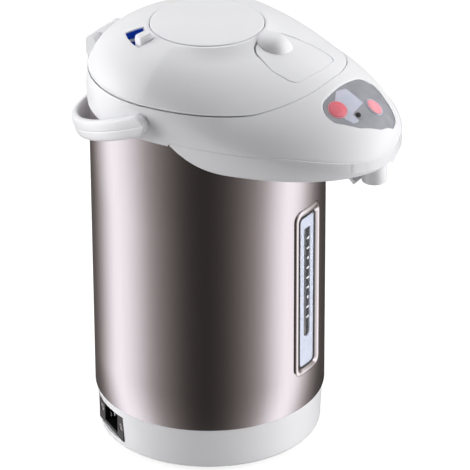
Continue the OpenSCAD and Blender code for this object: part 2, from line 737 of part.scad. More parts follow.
module panel_plate() color(grey) difference() {
  intersection() {
    panel_space(0);
    difference() {
      head_form(0.15);
      head_form(panel_t - 0.05);
    }
  }
  key_holes(fit + 0.1);
}
module round_button(p) at_skin(p) {
  translate([0, 0, -panel_t - 1.5]) cylinder(r = button_r, h = panel_t + 1.9);
  intersection() {
    translate([0, 0, 0.4 - 19]) sphere(r = 20);
    cylinder(r = button_r, h = 3);
  }
  translate([0, 0, -button_stem]) cylinder(r = stem_r, h = button_stem - panel_t);
}
button_stem = 7;
module dispense_button() color(pink) round_button(dispense_at);
module reboil_button() color(pink) round_button(reboil_at);
module status_lamp() color(dark) at_skin(lamp_at) translate([0, 0, -6]) cylinder(r = led_r, h = 6.3);
module control_board() color(green) block(-24, 24, -panel_y - 29, -panel_y + 5, key_z, key_z + 1.6);
function stem_end(p) = on_skin(p) - button_stem * skin_normal(p[0], p[1]);
module key_switches() color(dark) for (p = [dispense_at, reboil_at]) {
  e = stem_end(p);
  translate([e[0] - 3, e[1] - 3, key_z + 1.6]) cube([6, 6, max(1, e[2] - key_z - 1.6 - button_travel - 1.6)]);
}

// ---- Spout and cup lever ----
spout_y = head_b - spout_back;
spout_z = belly_z - spout_drop;
module spout_tube() color(white) translate([0, -spout_y, 0]) difference() {
  union() {
    translate([0, 0, spout_z]) cylinder(r = spout_r, h = belly_z + shell_t + 2 - spout_z);
    intersection() {
      translate([0, 0, belly_z + shell_t + 0.05]) cylinder(r = spout_r + 1.6, h = 2);
      translate([0, spout_y, 0]) head_form(shell_t + 0.3);
    }
  }
  translate([0, 0, spout_z - 1]) cylinder(r = spout_r - spout_t, h = 60);
}
module spout_nozzle() color(pale) translate([0, -spout_y, 0]) difference() {
  union() {
    translate([0, 0, spout_z + 3]) cylinder(r = hose_r, h = run_z - bend_r - spout_z - 3 - eps);
    translate([0, 0, belly_z + shell_t]) cylinder(r = spout_r - spout_t - run_gap, h = 2);
  }
  translate([0, 0, spout_z]) cylinder(r = hose_bore, h = 60);
}
cup_y = spout_y - 33.6;
cup_pin_z = belly_z + 5;
cup_lean = 43;
cup_blade = 32;
module cup_lever() color(white) difference() {
  union() {
    translate([0, -cup_y, cup_pin_z]) rod_x(3.2, cup_half);
    intersection() {
      translate([0, -cup_y, cup_pin_z]) rotate([cup_lean, 0, 0]) block(-cup_half + 0.4, cup_half - 0.4, -cup_blade, 0, -2.8, -0.4);
      block(-50, 50, -spout_y + spout_r + 0.8, 0, 0, 400);
    }
    translate([0, -cup_y, cup_pin_z]) rotate([cup_lean, 0, 0])
      for (s = [-1, 1]) block(s * (cup_half - 1.6) - 1, s * (cup_half - 1.6) + 1, -15, 0, -2.4, 1.4);
    translate([0, -cup_y, cup_pin_z]) block(4, 8, -1.5, 1.5, 0, 8.6);
  }
  translate([0, -cup_y, cup_pin_z]) rod_x(cup_pin_r + run_gap, cup_half + 5);
}
module cup_lever_pin() color(metal) translate([0, -cup_y, cup_pin_z]) rod_x(cup_pin_r, cup_half + 7);
module helix(r, wire, h, turns, sides = 6) {
  per_turn = 8;
  n = turns * per_turn;
  points = [
    for (k = [0:n]) for (j = [0:sides - 1])
      let (a = 360 * k / per_turn, b = 360 * j / sides, rr = r + wire * cos(b))
      [rr * cos(a), rr * sin(a), wire + (h - 2 * wire) * k / n + wire * sin(b)]];
  quads = [
    for (k = [0:n - 1]) for (j = [0:sides - 1])
      let (i = k * sides + j, i2 = k * sides + (j + 1) % sides)
      each [[i, i + sides, i2 + sides], [i, i2 + sides, i2]]];
  caps = [
    for (j = [1:sides - 2]) each [[0, j, j + 1],
      [n * sides, n * sides + j + 1, n * sides + j]]];
  polyhedron(points, concat(quads, caps), convexity = 8);
}
module cup_lever_spring() color(metal) translate([cup_half + 0.4, -cup_y, cup_pin_z])
  rotate([0, 90, 0]) helix(2.1, 0.35, 3.6, 4);
module cup_switch() color(dark) block(4.5, 18, -cup_y - 9, -cup_y + 3, cup_pin_z + 9.2, key_z);

// ---- Handle ----
handle_in = head_a + handle_gap;
hinge_reach = norm([hinge_y, hinge_z - pivot_z]) + barrel_r;
handle_shift = hinge_reach + handle_clear - sqrt(pow(handle_in, 2) - pow(hinge_half, 2));
module handle_form() {
  intersection() {
    translate([0, handle_shift, 0]) rotate_extrude($fn = 128)
      translate([handle_in + handle_t / 2, 0]) rounded_section(handle_t, handle_w, 2.6);
    block(-200, 200, handle_shift, 200, -50, 50);
  }
  for (s = [-1, 1]) {
    translate([s * (handle_in + handle_t / 2), handle_shift + eps, 0]) rotate([90, 0, 0])
      linear_extrude(handle_shift + eps) rounded_section(handle_t, handle_w, 2.6);
    translate([s * (handle_in + handle_t / 2), 0, 0]) rotate([0, 90, 0])
      rotate_extrude() intersection() {
        rounded_section(handle_w, handle_t, 2.6);
        translate([0, -50]) square(100);
      }
  }
}
module handle() color(white) translate([0, 0, pivot_z]) rotate([-handle_rest, 0, 0]) difference() {
  handle_form();
  for (s = [-1, 1]) translate([s * (handle_in + handle_t / 2 - 1.5), 0, 0]) rod_x(pivot_r + run_gap, handle_t / 2);
}
module handle_pivots() color(white) translate([0, 0, pivot_z]) for (s = [-1, 1]) {
  translate([s * (handle_in + handle_t - 3 + head_a - 6) / 2, 0, 0]) rod_x(pivot_r, (handle_in + handle_t - 3 - head_a + 6) / 2);
  translate([s * (head_a + 0.75), 0, 0]) rod_x(pivot_r + 3, 0.75);
}

// ---- Lid ----
module hinge_pin() color(metal) at_hinge() rod_x(hinge_pin_r, hinge_half - 0.5);
liner_z = seam_z + 0.9;
liner_t = 2;
plug_z = seam_z - plug_depth;
plug_t = 2.5;
well_r = pump_r + 0.6;
well_t = 2;
rim_z = dome_z - pump_crown - 0.6;
module lever_plan(g = 0) {
  hull() {
    for (s = [-1, 1]) {
      translate([s * (lever_half - 18) + lever_x, -lever_rear - 12]) circle(r = 12 + g, $fn = 32);
      translate([s * (lever_half - 9) + lever_x, -lever_rear - 25]) circle(r = 9 + g, $fn = 32);
      translate([s * (lever_half - 9.5) + lever_x, -lever_front + 12.5]) circle(r = 9.5 + g, $fn = 32);
    }
    translate([lever_x, -lever_front + 11]) circle(r = 11 + g, $fn = 32);
  }
}
lever_x = 4;
lever_front = lid_reach - lever_edge;
grip_y = -lever_rear - 7.5;
grip_sink = 5;
lever_pin_y = lever_rear + 24;
lever_pin_z = skin_z(0, -lever_pin_y) - 9.5;
module lever_space(g) translate([0, 0, seam_z + 3]) linear_extrude(60) lever_plan(g);
module lock_sector(r0, r1, a0, a1, z0, z1) intersection() {
  translate([0, 0, z0]) tube(r1, r0, z1 - z0);
  translate([0, 0, z0]) linear_extrude(z1 - z0)
    polygon([[0, 0], for (i = [0:6]) let (a = 180 - a0 - (a1 - a0) * i / 6) 90 * [cos(a), sin(a)]]);
}
lock_lo = lock_angle - lock_span / 2 - 1;
lock_hi = lock_angle + lock_span / 2 + lock_turn + 1;
lock_floor = dome_rear_z(lock_out, 0) - 8;
mark_t = 0.5;
slide_z = lock_floor + mark_t + free;
slide_t = 1.8;
slide_span = 30;
lock_proud = 2.5;
module lid_cover() color(white) difference() {
  union() {
    difference() {
      intersection() {
        head_form(0);
        lid_space(0, seam_z + seam_gap / 2);
      }
      intersection() {
        head_form(shell_t);
        translate([0, 0, seam_z - 5]) linear_extrude(dome_h) intersection() {
          lid_plan(-shell_t);
          square(400, center = true);
        }
      }
    }
    translate([0, 0, liner_z + liner_t]) cylinder(r = well_r + well_t, h = rim_z - liner_z - liner_t);
    // pocket of the lock tab
    intersection() {
      head_form(1);
      lock_sector(well_r, lock_out + 2.6, lock_lo - 2, lock_hi + 2, lock_floor - 1.6, dome_z);
    }
    // knuckle of the hinge
    at_hinge() rod_x(barrel_r, knuckle_half);
    block(-knuckle_half, knuckle_half, hinge_y - 12, hinge_y, seam_z + seam_gap / 2 + 0.2, hinge_z + barrel_r);
    // ears of the lever's pin
    for (s = [-1, 1]) intersection() {
      head_form(1);
      block(lever_x + s * (lever_half + 3) - 1.5, lever_x + s * (lever_half + 3) + 1.5,
        -lever_pin_y - 5, -lever_pin_y + 5, lever_pin_z - 4, dome_z);
    }
  }
  translate([0, 0, seam_z - 5]) cylinder(r = well_r, h = 80);
  lever_space(seam_gap);
  translate([0, 2, 0]) lever_space(seam_gap);
  translate([lever_x, -lever_pin_y, lever_pin_z]) rod_x(lever_pin_r + run_gap, lever_half + 10);
  lock_sector(lock_in - 1, lock_out + 1, lock_lo, lock_hi, lock_floor, dome_z + 5);
  lock_sector(well_r + well_t, slide_r + free, lock_angle - slide_span - 1, lock_angle + slide_span + lock_turn + 1,
    slide_z - free, slide_z + slide_t + free);
  at_hinge() rod_x(hinge_pin_r + run_gap, hinge_half);
  for (s = [-1, 1]) at_hinge() translate([s * (knuckle_half + hinge_half + 1) / 2, 0, 0])
    rod_x(barrel_r + free, (hinge_half + 1 - knuckle_half) / 2);
}
module lid_liner() color(white) difference() {
  union() {
    intersection() {
      head_form(shell_t + fit);
      translate([0, 0, liner_z]) linear_extrude(liner_t) lid_plan(-shell_t - fit);
    }
    translate([0, 0, plug_z]) cylinder(r = plug_r, h = liner_z - plug_z + liner_t);
  }
  translate([0, 0, plug_z + plug_t]) cylinder(r = well_r, h = 80);
  translate([0, 0, plug_z + plug_t]) tube(plug_r - plug_t, well_r + well_t, 80);
  translate([0, 0, plug_z - 1]) cylinder(r = valve_r + run_gap, h = 10);
  at_hinge() rod_x(barrel_r + free, hinge_half + 1);
  block(-knuckle_half - fit, knuckle_half + fit, hinge_y - 12 - fit, hinge_y + 20, seam_z, seam_z + 20);
}
module lid_seal() color(pale) translate([0, 0, deck_z + 0.3]) tube(mouth_r + 5, mouth_r + 0.5, liner_z - deck_z - 0.3);
module liner_screws() color(metal) for (a = [35, 145, 215, 325]) rotate([0, 0, a])
  translate([0, -62, plug_z - 1]) cylinder(r = 3, h = 1, $fn = 32);
valve_r = 5;
module air_valve() color(rubber) translate([0, 0, plug_z - 2]) {
  cylinder(r = valve_r, h = plug_t + 3);
  translate([0, 0, 0]) cylinder(r = valve_r + 3, h = 2 - 0.05);
}
// ---- Pump plate and bellows ----
plate_z = dome_z - pump_crown;
crown_r = (pump_r * pump_r + pump_crown * pump_crown) / (2 * pump_crown);
skirt_h = 10;
module pump_plate() color(white) {
  difference() {
    union() {
      intersection() {
        translate([0, 0, plate_z + pump_crown - crown_r]) sphere(r = crown_r, $fn = 180);
        translate([0, 0, plate_z - 0.5]) cylinder(r = pump_r, h = 20);
      }
      translate([0, 0, plate_z - skirt_h]) cylinder(r = pump_r, h = skirt_h - 0.4);
    }
    translate([0, 0, plate_z - skirt_h - 1]) cylinder(r = pump_r - 2, h = skirt_h - 1.5);
  }
  translate([0, 0, plate_z - skirt_h]) tube(bellows_r - 4.6, bellows_r - 7.4, skirt_h - 2);
}
bellows_z = plug_z + plug_t;
bellows_top = plate_z - 2.5;
module bellows() color(pale) rotate_extrude($fn = 64) {
  h = plate_z - skirt_h - bellows_z;
  f = bellows_folds;
  outer = [for (i = [0:2 * f]) [i % 2 == 0 ? bellows_r - 6 : bellows_r, bellows_z + h * i / (2 * f)]];
  inner = [for (i = [2 * f:-1:0]) [i % 2 == 0 ? bellows_r - 7.4 : bellows_r - 1.4, bellows_z + h * i / (2 * f)]];
  polygon(concat(outer, inner));
}
module pump_spring() color(metal) translate([0, 0, bellows_z])
  helix(18, 0.9, plate_z - 2.5 - 0.05 - bellows_z, spring_turns);
slide_r = lock_in + 2;
module lock_slide() color(white) {
  lock_sector(well_r + well_t + free, slide_r, lock_angle - slide_span, lock_angle + slide_span,
    slide_z, slide_z + slide_t);
  intersection() {
    lock_sector(lock_in, lock_out, lock_angle - lock_span / 2, lock_angle + lock_span / 2, slide_z, dome_z + 5);
    head_form(-lock_proud);
  }
}
module lock_mark() color(blue)
  lock_sector(lock_in - 1 + fit, lock_out + 1 - fit, lock_lo + 0.3, lock_hi - 0.3, lock_floor, lock_floor + mark_t);
module lid_lever() color(white) difference() {
  union() {
    difference() {
      intersection() {
        head_form(0);
        lever_space(0);
      }
      head_form(shell_t);
      translate([0, 0, seam_z]) cylinder(r = well_r + well_t + seam_gap, h = 100);
    }
    intersection() {
      translate([lever_x, grip_y, skin_z(0, grip_y) - grip_sink]) sphere(r = norm([grip_r, grip_sink]), $fn = 64);
      lever_space(0);
      difference() {
        translate([0, 0, seam_z]) cylinder(r = head_b, h = 80);
        head_form(0.4);
        translate([0, 0, seam_z]) cylinder(r = well_r + well_t + seam_gap, h = 100);
      }
    }
    for (s = [-1, 1]) intersection() {
      head_form(1);
      block(lever_x + s * (lever_half - 5) - 1.5, lever_x + s * (lever_half - 5) + 1.5,
        -lever_pin_y - 4, -lever_pin_y + 4, lever_pin_z - 3.5, dome_z);
    }
    // latch hook
    intersection() {
      head_form(1);
      block(lever_x - 6, lever_x + 6, -lever_front + 5, -lever_front + 8, liner_z + 2.5, dome_z);
    }
  }
  translate([lever_x, -lever_pin_y, lever_pin_z]) rod_x(lever_pin_r + run_gap, lever_half + 10);
}
module lever_pin() color(metal) translate([lever_x, -lever_pin_y, lever_pin_z]) rod_x(lever_pin_r, lever_half + 4.4);
spring_z = liner_z + liner_t;
module lever_spring() color(metal) translate([lever_x, -lever_rear - 13, spring_z])
  helix(3, 0.4, skin_z(0, -lever_rear - 17) - shell_t - 0.3 - spring_z, 5);

base_shell();
bottom_cover();
foot_ring();
base_screws();
steel_casing();
inner_pot();
pot_gasket();
heater_disc();
thermostat();
thermal_fuse();
pot_outlet();
suction_hose();
pump_volute();
pump_impeller();
pump_motor();
delivery_hose();
sight_tube();
tube_fittings();
scale_plate();
window_frame();
window_pane();
riser_hose();
power_board();
board_parts();
inlet_socket();
inlet_pins();
inlet_screws();
head_housing();
mouth_deck();
snout_cover();
panel_plate();
dispense_button();
reboil_button();
status_lamp();
control_board();
key_switches();
spout_tube();
spout_nozzle();
cup_lever();
cup_lever_pin();
cup_lever_spring();
cup_switch();
handle();
handle_pivots();
hinge_pin();
lid_cover();
lid_liner();
lid_seal();
liner_screws();
air_valve();
pump_plate();
bellows();
pump_spring();
lock_slide();
lock_mark();
lid_lever();
lever_pin();
lever_spring();
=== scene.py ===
import bmesh
import bpy
import math
import numpy as np
from mathutils import Matrix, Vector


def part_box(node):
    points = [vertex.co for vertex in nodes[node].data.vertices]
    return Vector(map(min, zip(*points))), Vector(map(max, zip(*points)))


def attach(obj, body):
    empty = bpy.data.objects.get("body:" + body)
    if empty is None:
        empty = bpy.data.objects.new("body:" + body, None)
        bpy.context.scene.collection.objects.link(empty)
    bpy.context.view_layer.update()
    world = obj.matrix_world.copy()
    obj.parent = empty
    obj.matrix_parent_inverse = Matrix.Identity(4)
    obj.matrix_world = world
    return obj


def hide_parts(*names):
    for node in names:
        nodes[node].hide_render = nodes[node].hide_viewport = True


# Electric thermo pot: camera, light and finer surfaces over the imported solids
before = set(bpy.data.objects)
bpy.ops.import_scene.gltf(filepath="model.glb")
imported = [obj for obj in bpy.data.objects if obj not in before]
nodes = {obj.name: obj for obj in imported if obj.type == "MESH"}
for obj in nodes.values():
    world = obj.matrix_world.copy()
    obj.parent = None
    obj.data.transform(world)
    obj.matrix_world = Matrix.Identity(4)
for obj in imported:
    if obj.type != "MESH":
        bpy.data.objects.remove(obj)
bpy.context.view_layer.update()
mm = 0.001


def boxMm(node):  # lowest and highest corner of a solid, in millimetres
    low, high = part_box(node)
    return np.array(low) / mm, np.array(high) / mm


# The photographer's place, worked out from the photograph's perspective
cameraView = {
    "azimuth": -58.0,   # degrees round the pot, 0 is straight in front of the spout
    "distance": 2583.4, # mm from the pot's axis
    "height": 1503.0,   # mm above the floor
    "pitch": 27.415,    # degrees down
    "yaw": 0.458,       # degrees to the right
    "roll": 0.26,       # degrees
    "lens": 282.6,      # mm on a 36 mm sensor
}


def addObject(name, data):
    thing = bpy.data.objects.new(name, data)
    bpy.context.scene.collection.objects.link(thing)
    return thing


def setPlace(thing, x, y, z, place):  # its three axes and where it stands
    turn = np.eye(4)
    turn[:3, 0], turn[:3, 1], turn[:3, 2], turn[:3, 3] = x, y, z, place
    thing.matrix_world = Matrix(turn.tolist())


def makeCamera(v):
    a, p, y, r = (math.radians(v[k]) for k in ("azimuth", "pitch", "yaw", "roll"))
    across = np.array([math.cos(a), math.sin(a), 0])
    away = np.array([-math.sin(a), math.cos(a), 0])
    up = np.array([0, 0, 1.0])
    ahead = math.sin(y) * across + math.cos(y) * away
    side = math.cos(y) * across - math.sin(y) * away
    look = ahead * math.cos(p) - up * math.sin(p)
    top = ahead * math.sin(p) + up * math.cos(p)
    right = side * math.cos(r) - top * math.sin(r)
    above = side * math.sin(r) + top * math.cos(r)
    data = bpy.data.cameras.new("camera")
    data.sensor_width = 36
    data.lens = v["lens"]
    data.clip_start, data.clip_end = 0.1, 50
    camera = addObject("camera", data)
    place = np.array([math.sin(a) * v["distance"], -math.cos(a) * v["distance"], v["height"]]) * mm
    setPlace(camera, right, above, -look, place)
    bpy.context.scene.camera = camera


makeCamera(cameraView)
bpy.context.scene.view_settings.view_transform = "Standard"
print("camera set")


def linear(hexColour):  # sRGB hex to linear colour
    c = np.array([int(hexColour[i:i + 2], 16) for i in (1, 3, 5)]) / 255
    c = np.where(c <= 0.04045, c / 12.92, ((c + 0.055) / 1.055) ** 2.4)
    return (*c.tolist(), 1.0)


# Adds a node: links feed its sockets, settings set its sockets or properties
def addNode(tree, kind, links=None, **settings):
    node = tree.nodes.new(kind)
    for key, value in settings.items():
        if hasattr(node, key):
            setattr(node, key, value)
        else:
            node.inputs[key.replace("_", " ")].default_value = value
    for key, source in (links or {}).items():
        socket = node.inputs[key] if isinstance(key, int) else node.inputs[key.replace("_", " ")]
        tree.links.new(source, socket)
    return node


def emptyTree(holder):  # a material's or a world's nodes, cleared
    holder.use_nodes = True
    holder.node_tree.nodes.clear()
    return holder.node_tree


def objectPlace(tree):
    return addNode(tree, "ShaderNodeTexCoord").outputs["Object"]


def noise(tree, place, size, detail):  # size of its grain in mm
    return addNode(tree, "ShaderNodeTexNoise", {"Vector": place}, Scale=1000 / size,
                   Detail=detail).outputs["Fac"]


def twoNumbers(tree, operation, a, b):
    return addNode(tree, "ShaderNodeMath", {0: a, 1: b}, operation=operation).outputs[0]


def newMaterial(name, colour, **settings):
    material = bpy.data.materials.new(name)
    material.use_nodes = True
    material.diffuse_color = linear(colour)
    shader = material.node_tree.nodes["Principled BSDF"]
    shader.inputs["Base Color"].default_value = linear(colour)
    for key, value in settings.items():
        shader.inputs[key.replace("_", " ")].default_value = value
    return material, material.node_tree, shader


def ramp(tree, source, stops):
    node = addNode(tree, "ShaderNodeValToRGB", {"Fac": source})
    marks = node.color_ramp.elements
    while len(marks) < len(stops):
        marks.new(0.5)
    for mark, (place, colour) in zip(marks, stops):
        mark.position = place
        mark.color = linear(colour) if isinstance(colour, str) else colour
    return node.outputs["Color"]


def spread(tree, source, low, high):  # 0..1 to low..high
    return addNode(tree, "ShaderNodeMapRange", {"Value": source}, To_Min=low, To_Max=high).outputs["Result"]


def relief(tree, shader, height, strength, depth):
    bump = addNode(tree, "ShaderNodeBump", {"Height": height}, Strength=strength, Distance=depth * mm)
    tree.links.new(bump.outputs["Normal"], shader.inputs["Normal"])


# Injection-moulded plastic: an even colour with the slight drift of a flow mark, gloss that varies
# with handling, and a faint ripple that breaks up its shine. grain and tone are in mm
def mouldedPlastic(name, colour, shade, roughness=0.24, grain=1.2, depth=0.012, tone=60.0, **more):
    material, tree, shader = newMaterial(name, colour, Roughness=roughness, IOR=1.46, **more)
    place = objectPlace(tree)
    drift = noise(tree, place, tone, 2.0)
    tree.links.new(ramp(tree, drift, [(0.3, shade), (0.7, colour)]), shader.inputs["Base Color"])
    wear = noise(tree, place, tone * 0.7, 1.0)
    tree.links.new(spread(tree, wear, roughness * 0.94, roughness * 1.07), shader.inputs["Roughness"])
    relief(tree, shader, noise(tree, place, grain, 0.0), 0.25, depth)
    return material


# Sheet metal brushed one way: fine lines in its colour, gloss and relief. stretch gives their direction,
# lines their width in mm
def brushedMetal(name, colour, shade, roughness, stretch, lines=0.5, depth=0.004):
    material, tree, shader = newMaterial(name, colour, Metallic=1.0, Roughness=roughness)
    place = objectPlace(tree)
    drawn = addNode(tree, "ShaderNodeMapping", {"Vector": place}, Scale=stretch)
    streak = noise(tree, drawn.outputs["Vector"], lines, 3.0)
    tree.links.new(ramp(tree, streak, [(0.3, shade), (0.7, colour)]), shader.inputs["Base Color"])
    tree.links.new(spread(tree, streak, roughness * 0.85, roughness * 1.15), shader.inputs["Roughness"])
    relief(tree, shader, streak, 0.2, depth)
    return material


# Clear moulded plastic: see-through with a hard gloss and the faintest ripple
def clearPlastic(name, colour, alpha, roughness=0.04):
    material, tree, shader = newMaterial(name, colour, Roughness=roughness, IOR=1.49, Alpha=alpha,
                                         Specular_IOR_Level=0.15)
    place = objectPlace(tree)
    relief(tree, shader, noise(tree, place, 6.0, 1.0), 0.1, 0.02)
    return material


# Printed circuit board: solder mask with copper tracks that show through as paler lines, 2.5 mm apart
def boardMaterial(name, colour, track):
    material, tree, shader = newMaterial(name, colour, Roughness=0.35)
    place = objectPlace(tree)
    cells = addNode(tree, "ShaderNodeTexBrick", {"Vector": place}, Scale=1000 / 10, Mortar_Size=0.035,
                    Color1=linear(colour), Color2=linear(colour), Mortar=linear(track))
    tree.links.new(cells.outputs["Color"], shader.inputs["Base Color"])
    relief(tree, shader, cells.outputs["Fac"], 0.3, 0.03)
    return material


# Water-level tube seen through the slot, its colour a painted view through it: painted dark shade at the
# top where it is empty, a painted brownish grey of the pot behind it lower down
def paintedLevelView(name, low, high):
    material, tree, shader = newMaterial(name, "#3A3636", Roughness=0.12, IOR=1.47)
    place = objectPlace(tree)
    split = addNode(tree, "ShaderNodeSeparateXYZ", {"Vector": place})
    height = addNode(tree, "ShaderNodeMapRange", {"Value": split.outputs["Z"]}, From_Min=low * mm,
                     From_Max=high * mm)
    wave = spread(tree, noise(tree, place, 7, 2.0), -0.06, 0.06)
    # painted view through the tube by height: brownish grey of the pot low down, dark shade towards the top
    tint = ramp(tree, twoNumbers(tree, "ADD", wave, height.outputs["Result"]),
                [(0.02, "#6E6761"), (0.10, "#57504E"), (0.28, "#47444A"), (0.5, "#2B2C36"),
                 (0.8, "#14161F"), (1.0, "#10121A")])
    tree.links.new(tint, shader.inputs["Base Color"])
    return material


materials = {
    # injection moulded and polished: cool white with a soft gloss
    "whiteAbs": mouldedPlastic("white gloss plastic", "#EDEDEF", "#EBEBEE", roughness=0.31, grain=18.0,
                               depth=0.004, tone=90.0),
    # the same resin with a duller tool finish, for the inner pieces
    "innerAbs": mouldedPlastic("satin white plastic", "#E4E4E5", "#DBDBDD", roughness=0.45, grain=0.6,
                               depth=0.02),
    # stainless sheet with a fine vertical brush and a smoked lacquer: soft-edged reflections
    "casingSteel": brushedMetal("smoked brushed stainless steel", "#BAB6B7", "#B6B2B3", 0.19, (1, 1, 0.02),
                                depth=0.0012),
    # deep-drawn pot: rings from the polishing wheel
    "potSteel": brushedMetal("drawn stainless steel", "#C4C5C8", "#B2B3B6", 0.34, (0.05, 0.05, 1)),
    # pressed and polished bezel: bright edges
    "brightTrim": brushedMetal("polished steel trim", "#C9C5C5", "#C1BDBD", 0.14, (1, 1, 0.1), depth=0.001),
    # screws, pins and springs: small even sparkle
    "plated": brushedMetal("nickel plated steel", "#CFCFD0", "#BDBDBE", 0.22, (1, 1, 1), lines=0.3),
    # heater plate: a coarse cast skin
    "aluminium": brushedMetal("cast aluminium", "#B7B7B9", "#A5A5A8", 0.45, (1, 1, 1), lines=0.8,
                              depth=0.03),
    # socket, switches: deep black with a dull grain
    "blackPlastic": mouldedPlastic("black nylon", "#0C0C0E", "#131315", roughness=0.35, grain=0.5,
                                   depth=0.02),
    # feet, tube fittings and air valve: matt dark grey
    "greyRubber": mouldedPlastic("moulded rubber", "#3B3B3D", "#333335", roughness=0.75, grain=0.4,
                                 depth=0.03),
    # window gasket: matt black line round the scale
    "blackRubber": mouldedPlastic("black rubber", "#0E0E10", "#151517", roughness=0.6, grain=0.4,
                                  depth=0.02),
    # hoses, seals and bellows: milky and soft
    "silicone": mouldedPlastic("translucent silicone", "#D9DADD", "#CFD0D4", roughness=0.5, grain=0.8,
                               depth=0.01),
    # panel foil: mid grey under a hard gloss
    "panelGrey": mouldedPlastic("grey glossy panel foil", "#A6A7AE", "#96999E", roughness=0.13, grain=2.0,
                                depth=0.004, tone=14.0),
    # print on the foil and the second key's ring: pale lilac
    "labelLilac": mouldedPlastic("lilac printed foil", "#D2D2E2", "#C6CBDA", roughness=0.13, grain=2.0,
                                 depth=0.004, tone=9.0),
    # darker square round the lamp
    "lampField": mouldedPlastic("slate printed foil", "#9C9CA2", "#92929A", roughness=0.15, grain=2.0,
                                depth=0.004, tone=9.0),
    # main key: rose pink with a soft gloss
    "pink": mouldedPlastic("rose tinted plastic", "#F0808C", "#E8707E", roughness=0.2, tone=8.0),
    # second key and the main key's ring: the same resin, paler
    "palePink": mouldedPlastic("pale rose plastic", "#F7AAB4", "#F19EAA", roughness=0.2, tone=8.0),
    # colour that shows beside the lock tab
    "blue": mouldedPlastic("deep blue plastic", "#0F46C8", "#0C3AA8", roughness=0.6, tone=5.0,
                           Specular_IOR_Level=0.1),
    # circuit boards: green mask over copper tracks
    "green": boardMaterial("solder-masked board", "#1C6B38", "#2F8A50"),
    # plate behind the window: pale blue-white print
    "scalePlate": mouldedPlastic("pale blue printed plate", "#DDE2F2", "#D3DAEC", roughness=0.3, tone=20.0),
    # window pane: nearly invisible but for its shine
    "clear": clearPlastic("clear polycarbonate", "#F2F5FA", 0.04),
    # level tube: a painted view through it, painted dark shade above and the brownish grey of the pot
    # behind it below
    "level": paintedLevelView("level tube", 98.0, 196.0),
    # ticks and dots of the scale
    "markWhite": mouldedPlastic("white printing ink", "#F6F7F9", "#F0F1F3", roughness=0.5, tone=4.0),
}
print("materials made")


def joined(*arrays):  # arrays of one shape, side by side along a new last way
    return np.stack(arrays, -1)


# Quads of an n by m grid of points, closed along either way
def gridFaces(n, m, closeN=False, closeM=False, start=0):
    i = np.arange(n if closeN else n - 1)[:, None]
    j = np.arange(m if closeM else m - 1)[None, :]
    i2, j2 = (i + 1) % n, (j + 1) % m
    quads = joined(i * m + j, i2 * m + j, i2 * m + j2, i * m + j2)
    return quads.reshape(-1, 4) + start


def endLoops(n, m):  # the first and the last section of a grid as faces
    return [list(range(m)), [(n - 1) * m + k for k in range(m)][::-1]]


# Faces round an opening in the first columns of an n by m grid, between its outer and inner rows
def openingFaces(n, m, columns, outLow, outHigh, inHigh, inLow):
    at = np.arange(n * m).reshape(n, m)
    k = np.arange(columns)
    sill = joined(at[k, outLow], at[k + 1, outLow], at[k + 1, inLow], at[k, inLow])
    lintel = joined(at[k, outHigh], at[k + 1, outHigh], at[k + 1, inHigh], at[k, inHigh])
    jambs = np.array([[at[j, outLow], at[j, outHigh], at[j, inHigh], at[j, inLow]] for j in (0, columns)])
    return np.concatenate([sill, lintel, jambs])


def roundAxis(angle, r, z):  # a profile carried round the pot's axis
    return joined(np.outer(np.cos(angle), r), np.outer(np.sin(angle), r), np.tile(z, (len(angle), 1)))


# points in mm, faces an array of quads, loops a list of further many-sided faces
def makePiece(name, points, faces, material, body, replaced=(), smooth=32.0, loops=()):
    mesh = bpy.data.meshes.new(name)
    mesh.from_pydata((np.asarray(points, float).reshape(-1, 3) * mm).tolist(), [],
                     np.asarray(faces, int).tolist() + [list(map(int, f)) for f in loops])
    mesh.materials.append(materials[material])
    piece = addObject(name, mesh)
    work = bmesh.new()
    work.from_mesh(mesh)
    bmesh.ops.remove_doubles(work, verts=work.verts, dist=1e-6)
    bmesh.ops.dissolve_degenerate(work, edges=work.edges, dist=1e-6)
    bmesh.ops.recalc_face_normals(work, faces=work.faces)
    if work.calc_volume(signed=True) < 0:
        bmesh.ops.reverse_faces(work, faces=work.faces)
    work.to_mesh(mesh)
    work.free()
    mesh.polygons.foreach_set("use_smooth", np.ones(len(mesh.polygons), bool))
    mesh.set_sharp_from_angle(angle=math.radians(smooth))
    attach(piece, body)
    if replaced:
        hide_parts(*replaced)
    return piece


# A path through corners (x, y, radius), with an arc of that radius at each one
def rounded(corners, steps=6, closed=False):
    path = []
    count = len(corners)
    for k, (x, y, r) in enumerate(corners):
        here = np.array([x, y], float)
        if r <= 0 or (not closed and k in (0, count - 1)):
            path.append(here)
            continue
        before = np.array(corners[k - 1][:2], float) - here
        after = np.array(corners[(k + 1) % count][:2], float) - here
        u, v = before / np.linalg.norm(before), after / np.linalg.norm(after)
        half = math.acos(np.clip(u @ v, -1, 1)) / 2
        reach = min(r / math.tan(half), np.linalg.norm(before) * 0.49, np.linalg.norm(after) * 0.49)
        radius = reach * math.tan(half)
        centre = here + (u + v) / np.linalg.norm(u + v) * radius / math.sin(half)
        start, stop = here + u * reach - centre, here + v * reach - centre
        sweep = math.atan2(start[0] * stop[1] - start[1] * stop[0], start @ stop)
        first = math.atan2(start[1], start[0])
        turns = first + np.linspace(0, sweep, steps + 1)
        path += [centre + radius * np.array([math.cos(t), math.sin(t)]) for t in turns]
    return np.array(path)


